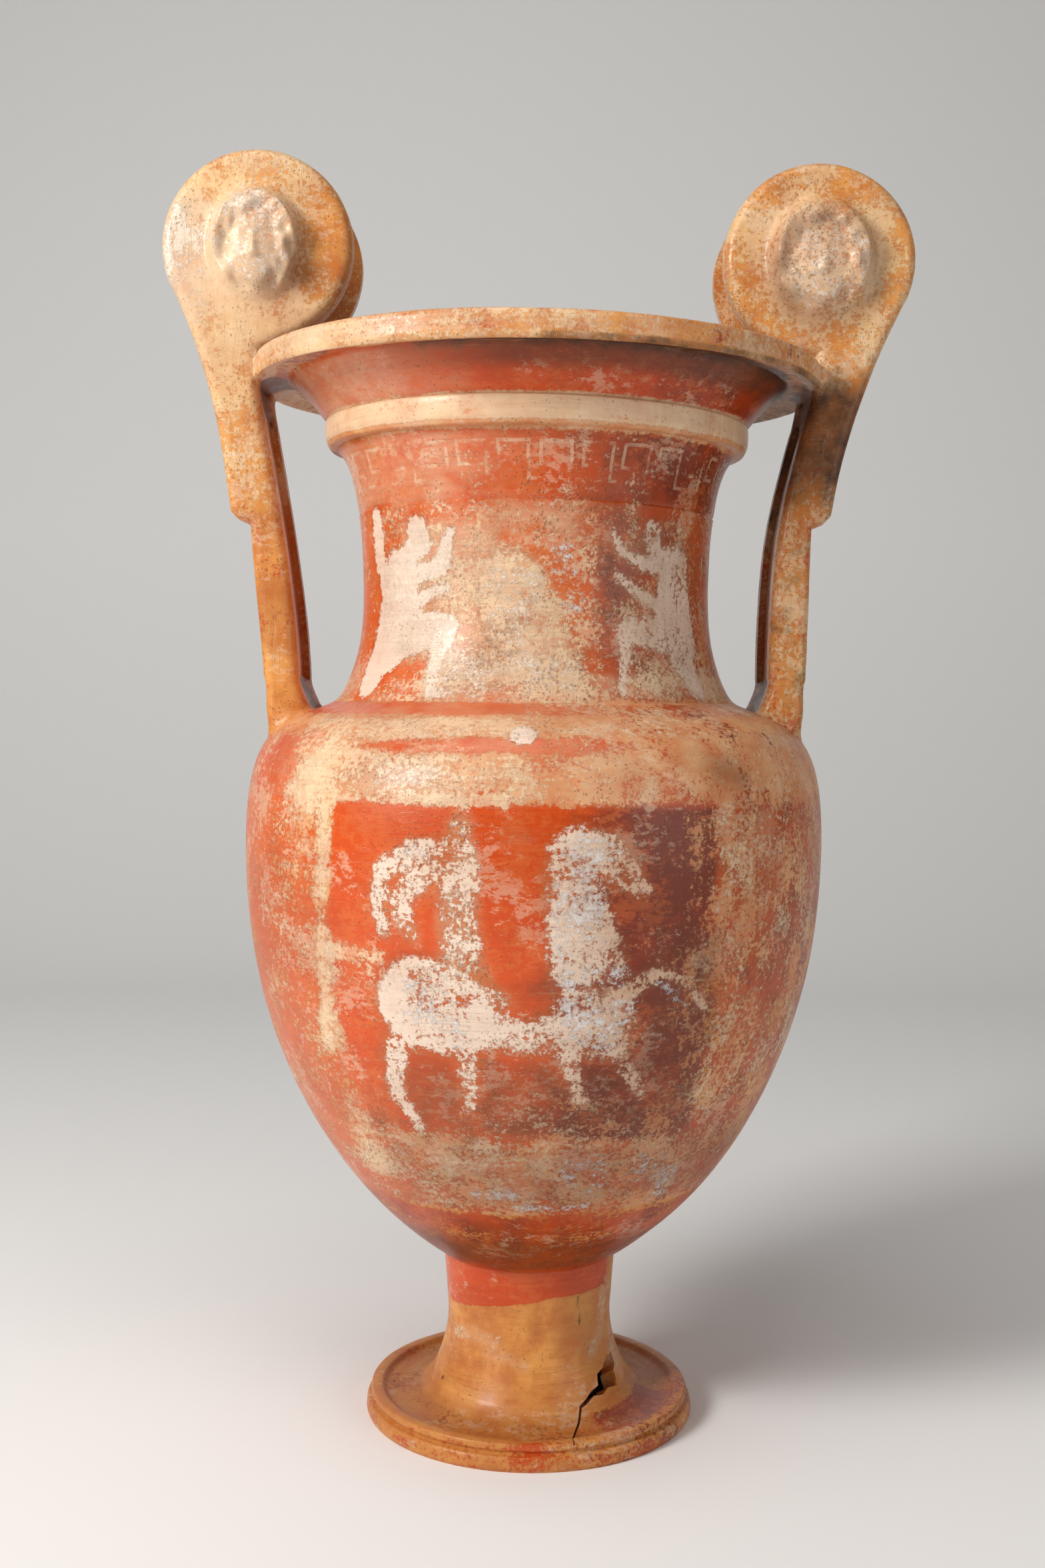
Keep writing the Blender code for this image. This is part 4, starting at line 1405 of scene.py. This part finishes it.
class Graph:
    """Adds nodes to one tree, links sockets that are handed in, and sets plain values."""

    def __init__(self, tree):
        self.tree = tree
        self.made = 0

    def add(self, kind, inputs, **settings):
        node = self.tree.nodes.new(kind)
        node.location = (220 * (self.made // 6), -240 * (self.made % 6))
        self.made += 1
        for key, value in settings.items():
            setattr(node, key, value)
        for key, value in inputs.items():
            if isinstance(value, bpy.types.NodeSocket):
                self.tree.links.new(value, node.inputs[key])
            else:
                node.inputs[key].default_value = value
        return node

    def math(self, operation, first, second=0.0, third=0.0):
        return self.add("ShaderNodeMath", {0: first, 1: second, 2: third}, operation=operation).outputs[0]

    def noise(self, vector, scale, detail, roughness):
        inputs = {"Vector": vector, "Scale": scale, "Detail": detail, "Roughness": roughness}
        return self.add("ShaderNodeTexNoise", inputs).outputs["Fac"]

    def stretch(self, vector, scale):
        inputs = {0: vector, 1: scale}
        return self.add("ShaderNodeVectorMath", inputs, operation="MULTIPLY").outputs[0]

    def rise(self, value, low, high):
        inputs = {"Value": value, "From Min": low, "From Max": high}
        return self.add("ShaderNodeMapRange", inputs, interpolation_type="SMOOTHSTEP").outputs["Result"]

    def blend(self, share, first, second):
        inputs = {0: share, 6: first, 7: second}
        return self.add("ShaderNodeMix", inputs, data_type="RGBA").outputs[2]

    def place(self):
        return self.add("ShaderNodeTexCoord", {}).outputs["Object"]


def new_group(name, inputs, outputs):
    """A node group with named float sockets, and the graph and sockets to fill it."""
    tree = bpy.data.node_groups.new(name, "ShaderNodeTree")
    for socket, value in inputs.items():
        made = tree.interface.new_socket(socket, in_out="INPUT", socket_type="NodeSocketFloat")
        made.default_value = value
    for socket in outputs:
        tree.interface.new_socket(socket, in_out="OUTPUT", socket_type="NodeSocketFloat")
    graph = Graph(tree)
    entry = graph.add("NodeGroupInput", {})
    return tree, graph, entry.outputs


def close_group(graph, results):
    graph.add("NodeGroupOutput", results)


# %% Worn edge
def make_worn_edge():
    tree, graph, entry = new_group(
        "worn_edge", {"Amount": 1.0, "Wear": 0.5, "Upright": 0.0, "Shift": 0.0}, ("Mask",))
    shift = graph.add("ShaderNodeCombineXYZ", {0: entry["Shift"], 1: entry["Shift"], 2: entry["Shift"]})
    place = graph.add("ShaderNodeVectorMath", {0: graph.place(), 1: shift.outputs[0]}, operation="ADD")
    place = place.outputs[0]
    patches = graph.noise(place, 32.0, 3.0, 0.55)
    crumbs = graph.noise(place, 340.0, 6.0, 0.75)
    level = graph.stretch(place, (14.0, 14.0, 150.0))
    plumb = graph.stretch(place, (110.0, 110.0, 11.0))
    streaks = graph.blend(entry["Upright"],
                          graph.noise(level, 1.0, 4.0, 0.6), graph.noise(plumb, 1.0, 4.0, 0.6))
    total = entry["Amount"]
    for source, still, worn in ((patches, 0.30, 1.7), (crumbs, 0.60, 2.8), (streaks, 0.16, 0.9)):
        strength = graph.math("MULTIPLY_ADD", entry["Wear"], worn, still)
        offset = graph.math("SUBTRACT", source, 0.5)
        total = graph.math("MULTIPLY_ADD", offset, strength, total)
    total = graph.math("MULTIPLY_ADD", entry["Wear"], -0.10, total)
    close_group(graph, {"Mask": graph.rise(total, 0.40, 0.60)})
    return tree


# %% [markdown]
# ## Small marks
# Flecks are crumbs of one layer on another. Pits and scratches are places where the skin is gone, and
# turning lines are left by fingers and ribs on the wheel. All are noise, stretched or thresholded.
# The key pattern is regular, so it is drawn from straight runs inside one repeat.

# %% Flecks, pits, turning lines and key pattern
def make_flecks():
    """Loose crumbs of another layer, scattered in clusters."""
    tree, graph, entry = new_group("flecks", {"Density": 0.5, "Shift": 0.0}, ("Mask",))
    shift = graph.add("ShaderNodeCombineXYZ", {0: entry["Shift"], 1: entry["Shift"], 2: entry["Shift"]})
    place = graph.add("ShaderNodeVectorMath", {0: graph.place(), 1: shift.outputs[0]}, operation="ADD")
    place = place.outputs[0]
    crumbs = graph.noise(graph.stretch(place, (1.0, 1.0, 1.8)), 150.0, 7.0, 0.8)
    clusters = graph.math("SUBTRACT", graph.noise(place, 26.0, 4.0, 0.6), 0.5)
    total = graph.math("MULTIPLY_ADD", clusters, 0.80, crumbs)
    total = graph.math("MULTIPLY_ADD", entry["Density"], 0.12, total)
    close_group(graph, {"Mask": graph.rise(total, 0.640, 0.680)})
    return tree


def make_pits():
    tree, graph, entry = new_group("pits", {"Density": 0.5}, ("Mask",))
    place = graph.place()
    warp = graph.noise(place, 500.0, 2.0, 0.5)
    cells = graph.add("ShaderNodeTexVoronoi", {"Vector": place, "Scale": 380.0}).outputs["Distance"]
    clusters = graph.noise(place, 30.0, 4.0, 0.7)
    size = graph.math("MULTIPLY", graph.rise(clusters, 0.42, 0.66), entry["Density"])
    depth = graph.math("SUBTRACT", graph.math("MULTIPLY_ADD", size, 0.50, 0.02),
                       graph.math("MULTIPLY_ADD", warp, 0.6, cells))
    close_group(graph, {"Mask": graph.rise(depth, -0.36, -0.22)})
    return tree


def make_scratches():
    """Hair-thin marks, level or upright: where a stretched noise passes through its middle value."""
    tree, graph, entry = new_group("scratches", {"Upright": 0.0}, ("Mask",))
    place = graph.place()
    total = 0.0
    for scale, share in (((11.0, 11.0, 330.0), 0.0), ((240.0, 240.0, 12.0), 1.0)):
        field = graph.noise(graph.stretch(place, scale), 1.0, 2.0, 0.6)
        middle = graph.math("ABSOLUTE", graph.math("SUBTRACT", field, 0.5))
        line = graph.math("SUBTRACT", 1.0, graph.rise(middle, 0.002, 0.016))
        wanted = graph.math("ABSOLUTE", graph.math("SUBTRACT", entry["Upright"], 1.0 - share))
        line = graph.math("MULTIPLY", line, graph.math("MULTIPLY_ADD", wanted, 0.7, 0.3))
        total = graph.math("MAXIMUM", total, line)
    clusters = graph.rise(graph.noise(place, 22.0, 4.0, 0.7), 0.46, 0.64)
    close_group(graph, {"Mask": graph.math("MULTIPLY", total, clusters)})
    return tree


def make_turning_lines():
    tree, graph, entry = new_group("turning_lines", {"Strength": 1.0}, ("Height",))
    place = graph.place()
    broad = graph.noise(graph.stretch(place, (3.0, 3.0, 220.0)), 1.0, 2.0, 0.5)
    fine = graph.noise(graph.stretch(place, (9.0, 9.0, 900.0)), 1.0, 3.0, 0.6)
    both = graph.math("ADD", broad, graph.math("MULTIPLY", fine, 0.6))
    close_group(graph, {"Height": graph.math("MULTIPLY", both, entry["Strength"])})
    return tree


key_low = 0.5885
key_high = 0.6120
key_repeats = 30
key_line = 0.0010
key_runs = (
    ("level", 0.08, 0.78, 0.94),
    ("plumb", 0.40, 0.94, 0.08),
    ("level", 0.08, 0.44, 0.40),
    ("plumb", 0.06, 0.94, 0.78),
    ("level", 0.78, 1.00, 0.06),
    ("level", 0.00, 0.08, 0.06),
)


def make_key_pattern():
    """A running key round the neck, drawn as straight runs inside one repeat."""
    tree, graph, entry = new_group("key_pattern", {"Wobble": 0.04}, ("Mask",))
    place = graph.place()
    axes = graph.add("ShaderNodeSeparateXYZ", {0: place}).outputs
    turn = graph.math("ARCTAN2", axes[0], graph.math("MULTIPLY", axes[1], -1.0))
    shake = graph.math("SUBTRACT", graph.noise(place, 90.0, 2.0, 0.5), 0.5)
    repeat = graph.math("MULTIPLY_ADD", turn, key_repeats / (2 * math.pi), 40.0)
    repeat = graph.math("MULTIPLY_ADD", shake, entry["Wobble"], repeat)
    across = graph.math("FRACT", repeat)
    level = graph.math("MULTIPLY_ADD", axes[0], 0.8 * math.tan(mouth_tilt), axes[2])
    up = graph.math("DIVIDE", graph.math("SUBTRACT", level, key_low), key_high - key_low)
    up = graph.math("MULTIPLY_ADD", shake, entry["Wobble"], up)
    thin_across = key_line * key_repeats / (2 * math.pi * 0.118)
    thin_up = key_line / (key_high - key_low)
    total = 0.0
    for way, start, end, at in key_runs:
        middle = 0.5 * (start + end)
        half = 0.5 * (end - start)
        run = (middle, half + thin_across) if way == "level" else (at, thin_across)
        rise = (at, thin_up) if way == "level" else (middle, half)
        box = graph.math("MULTIPLY", graph.math("COMPARE", across, *run), graph.math("COMPARE", up, *rise))
        total = graph.math("MAXIMUM", total, box)
    close_group(graph, {"Mask": total})
    return tree


groups = {
    "worn_edge": make_worn_edge(),
    "flecks": make_flecks(),
    "pits": make_pits(),
    "scratches": make_scratches(),
    "turning_lines": make_turning_lines(),
    "key_pattern": make_key_pattern(),
}
print("groups", sorted(groups))

# %% [markdown]
# ## The painted clay
# From the bottom up: clay, ochre wash, red slip, a pale film, cream slip, flecks, key lines, figures,
# chalky remains, a smoky film, stains, and dirt in the pits. The figure layer also carries painted
# highlights on the left shoulder and on the left disc, and the smoky film and the stains also carry
# painted shade under the lip, the smoky film on the stem's right side too. Each layer is a colour laid
# over the last one by its mask, and the masks of the slips also lift the surface a little, so that they
# have an edge that catches the light.

# %% Material
tones = {
    "clay": (0.700, 0.280, 0.115, 1.0),
    "pale clay": (0.760, 0.420, 0.210, 1.0),
    "ochre": (0.800, 0.340, 0.062, 1.0),
    "ochre dark": (0.600, 0.200, 0.032, 1.0),
    "vermilion": (0.660, 0.078, 0.006, 1.0),
    "faded red": (0.700, 0.165, 0.036, 1.0),
    # Brown red is also where the right side is painted darker as shade.
    "brown red": (0.220, 0.030, 0.008, 1.0),
    "cream": (0.850, 0.660, 0.475, 1.0),
    "warm cream": (0.820, 0.560, 0.290, 1.0),
    # Bone also paints the highlights on the left shoulder and on the left disc.
    "bone": (0.880, 0.740, 0.610, 1.0),
    "tan": (0.700, 0.440, 0.280, 1.0),
    "pink film": (0.800, 0.500, 0.320, 1.0),
    "chalk": (0.800, 0.780, 0.790, 1.0),
    # The stain and the smoke film are also the colours of painted shade under the lip and on the stem's
    # right side.
    "stain_and_shade": (0.070, 0.024, 0.010, 1.0),
    "smoke_and_shade_film": (0.140, 0.040, 0.014, 1.0),
    "dirt": (0.260, 0.100, 0.040, 1.0),
    "umber shade": (0.760, 0.640, 0.560, 1.0),
}


def use_group(graph, name, inputs):
    node = graph.add("ShaderNodeGroup", {}, node_tree=groups[name])
    for key, value in inputs.items():
        if isinstance(value, bpy.types.NodeSocket):
            graph.tree.links.new(value, node.inputs[key])
        else:
            node.inputs[key].default_value = value
    return node.outputs[0]


def painted_clay():
    material = bpy.data.materials.new("painted_clay")
    material.use_nodes = True
    shader = material.node_tree.nodes["Principled BSDF"]
    graph = Graph(material.node_tree)
    place = graph.place()

    layers = {}
    for layer in ("slips", "remains", "state"):
        colour = graph.add("ShaderNodeAttribute", {}, attribute_name=layer).outputs["Color"]
        layers[layer] = graph.add("ShaderNodeSeparateColor", {0: colour}).outputs
    red, cream, figure_and_highlight = layers["slips"]
    chalk, ochre, burnt_and_shade = layers["remains"]
    wear, upright, dull = layers["state"]
    haze = graph.add("ShaderNodeAttribute", {}, attribute_name="haze").outputs["Fac"]
    smoke_and_shade = graph.add("ShaderNodeAttribute", {}, attribute_name="smoke_and_shade").outputs["Fac"]

    def worn(amount, shift):
        inputs = {"Amount": amount, "Wear": wear, "Upright": upright, "Shift": shift}
        return use_group(graph, "worn_edge", inputs)

    broad = graph.noise(place, 14.0, 4.0, 0.6)
    medium = graph.noise(place, 60.0, 5.0, 0.65)
    grain = graph.noise(place, 620.0, 4.0, 0.7)
    broad_share = graph.rise(broad, 0.36, 0.64)
    medium_share = graph.rise(medium, 0.34, 0.66)

    colour = graph.blend(medium_share, tones["clay"], tones["pale clay"])
    ochre_tone = graph.blend(medium_share, tones["ochre dark"], tones["ochre"])
    colour = graph.blend(graph.math("MULTIPLY", worn(ochre, 3.1), 0.85), colour, ochre_tone)

    red_mask = worn(red, 0.0)
    fading = graph.math("MULTIPLY_ADD", wear, 0.7, graph.math("MULTIPLY", medium, 0.6))
    fading = graph.rise(fading, 0.52, 0.95)
    red_tone = graph.blend(fading, tones["vermilion"], tones["faded red"])
    # The dull amount holds real dulling and the right side's painted shade; it turns red towards brown red
    # and bone towards tan.
    dulling_and_shade = graph.math("MULTIPLY_ADD", graph.math("SUBTRACT", broad, 0.5), 1.2, dull)
    dulling_and_shade = graph.math("MULTIPLY_ADD", graph.math("SUBTRACT", medium, 0.5), 0.9, dulling_and_shade)
    red_tone = graph.blend(graph.rise(dulling_and_shade, 0.15, 0.95), red_tone, tones["brown red"])
    colour = graph.blend(red_mask, colour, red_tone)

    film = graph.math("MULTIPLY_ADD", graph.math("SUBTRACT", medium, 0.5), 0.9, haze)
    film = graph.math("MULTIPLY", graph.rise(film, 0.0, 1.0), graph.rise(haze, 0.0, 0.15))
    colour = graph.blend(graph.math("MULTIPLY", film, 0.85), colour, tones["pink film"])

    cream_mask = worn(cream, 7.7)
    warmth = graph.math("MULTIPLY_ADD", ochre, 0.62, graph.math("MULTIPLY", broad_share, 0.35))
    cream_tone = graph.blend(graph.math("MINIMUM", warmth, 1.0), tones["cream"], tones["warm cream"])
    cover = graph.math("MULTIPLY_ADD", medium_share, 0.30, 0.62)
    colour = graph.blend(graph.math("MULTIPLY", cream_mask, cover), colour, cream_tone)

    pale_flecks = use_group(graph, "flecks", {"Density": wear, "Shift": 31.0})
    colour = graph.blend(graph.math("MULTIPLY", pale_flecks, 0.38), colour, tones["cream"])
    red_flecks = use_group(graph, "flecks", {"Density": red, "Shift": 47.0})
    colour = graph.blend(graph.math("MULTIPLY", red_flecks, 0.45), colour, tones["faded red"])

    key = use_group(graph, "key_pattern", {"Wobble": 0.07})
    key_kept = graph.math("MULTIPLY", key, graph.rise(medium, 0.42, 0.58))
    colour = graph.blend(graph.math("MULTIPLY", key_kept, 0.50), colour, tones["cream"])

    # The figure amount also holds painted highlights on the left shoulder and the left disc, in the same
    # bone colour.
    figure_and_highlight_mask = worn(figure_and_highlight, 12.9)
    covered = graph.math("MAXIMUM", figure_and_highlight_mask, cream_mask)
    halo = graph.math("SUBTRACT", graph.rise(figure_and_highlight, 0.10, 0.48), covered)
    halo = graph.math("MULTIPLY", graph.math("MAXIMUM", halo, 0.0), 0.26)
    colour = graph.blend(halo, colour, tones["dirt"])
    figure_and_highlight_tone = graph.blend(graph.rise(dulling_and_shade, 0.25, 1.25), tones["bone"], tones["tan"])
    colour = graph.blend(graph.math("MULTIPLY", figure_and_highlight_mask, 0.90), colour, figure_and_highlight_tone)

    chalk_mask = worn(chalk, 21.3)
    colour = graph.blend(graph.math("MULTIPLY", chalk_mask, 0.85), colour, tones["chalk"])

    # The smoky film and the stains also lay painted shade under the lip, and the smoky film on the stem's
    # right side too.
    soot_and_shade = graph.math("MULTIPLY_ADD", graph.math("SUBTRACT", medium, 0.5), 0.5, smoke_and_shade)
    soot_and_shade = graph.math("MULTIPLY", graph.rise(soot_and_shade, 0.0, 1.1), graph.rise(smoke_and_shade, 0.0, 0.15))
    colour = graph.blend(graph.math("MULTIPLY", soot_and_shade, 0.90), colour, tones["smoke_and_shade_film"])
    stain_and_shade = graph.math("MULTIPLY_ADD", graph.math("SUBTRACT", medium, 0.5), 1.5, burnt_and_shade)
    stain_and_shade = graph.rise(stain_and_shade, 0.25, 0.95)
    colour = graph.blend(stain_and_shade, colour, tones["stain_and_shade"])
    pit_mask = use_group(graph, "pits", {"Density": wear})
    colour = graph.blend(graph.math("MULTIPLY", pit_mask, 0.40), colour, tones["dirt"])

    scratch_mask = use_group(graph, "scratches", {"Upright": upright})
    scratch_share = graph.math("MULTIPLY", scratch_mask, graph.math("MULTIPLY_ADD", wear, 0.45, 0.05))
    colour = graph.blend(scratch_share, colour, tones["pale clay"])

    level = graph.noise(graph.stretch(place, (16.0, 16.0, 330.0)), 1.0, 4.0, 0.65)
    plumb = graph.noise(graph.stretch(place, (250.0, 250.0, 16.0)), 1.0, 4.0, 0.65)
    brushed = graph.math("ADD", graph.math("MULTIPLY", graph.math("SUBTRACT", 1.0, upright), level),
                         graph.math("MULTIPLY", upright, plumb))
    shading = graph.math("ADD", graph.math("MULTIPLY", graph.rise(brushed, 0.62, 0.38), 0.22),
                         graph.math("MULTIPLY", graph.rise(broad, 0.60, 0.36), 0.50))
    inputs = {0: shading, 6: colour, 7: tones["umber shade"]}
    colour = graph.add("ShaderNodeMix", inputs, data_type="RGBA", blend_type="MULTIPLY").outputs[2]

    smooth_slip = graph.math("MAXIMUM", red_mask, cream_mask)
    roughness = graph.math("MULTIPLY_ADD", smooth_slip, -0.12, 0.46)
    roughness = graph.math("MULTIPLY_ADD", chalk_mask, 0.25, roughness)
    roughness = graph.math("MULTIPLY_ADD", graph.math("SUBTRACT", medium, 0.5), 0.35, roughness)

    lines = use_group(graph, "turning_lines", {"Strength": 0.15})
    relief = graph.math("MULTIPLY_ADD", red_mask, 0.18, lines)
    relief = graph.math("MULTIPLY_ADD", cream_mask, 0.16, relief)
    relief = graph.math("MULTIPLY_ADD", figure_and_highlight_mask, 0.26, relief)
    relief = graph.math("MULTIPLY_ADD", chalk_mask, 0.30, relief)
    relief = graph.math("MULTIPLY_ADD", grain, 0.20, relief)
    relief = graph.math("MULTIPLY_ADD", medium, 0.30, relief)
    relief = graph.math("MULTIPLY_ADD", pit_mask, -0.60, relief)
    relief = graph.math("MULTIPLY_ADD", scratch_mask, -0.25, relief)
    bump_node = graph.add("ShaderNodeBump", {"Strength": 0.75, "Distance": 0.0009, "Height": relief})

    tree = material.node_tree
    tree.links.new(colour, shader.inputs["Base Color"])
    tree.links.new(roughness, shader.inputs["Roughness"])
    tree.links.new(bump_node.outputs["Normal"], shader.inputs["Normal"])
    shader.inputs["Specular IOR Level"].default_value = 0.34
    shader.inputs["Coat Weight"].default_value = 0.18
    shader.inputs["Coat Roughness"].default_value = 0.20
    return material


vessel.data.shade_smooth()
vessel.data.set_sharp_from_angle(angle=math.radians(38))
vessel.data.materials.clear()
vessel.data.materials.append(painted_clay())
vessel.name = "krater_clay"
bpy.context.scene.view_settings.view_transform = "Standard"
print("material", len(vessel.data.materials[0].node_tree.nodes), "nodes")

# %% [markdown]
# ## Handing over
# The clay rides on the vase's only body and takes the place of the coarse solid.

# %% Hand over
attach(vessel, "root")
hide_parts(node_name)
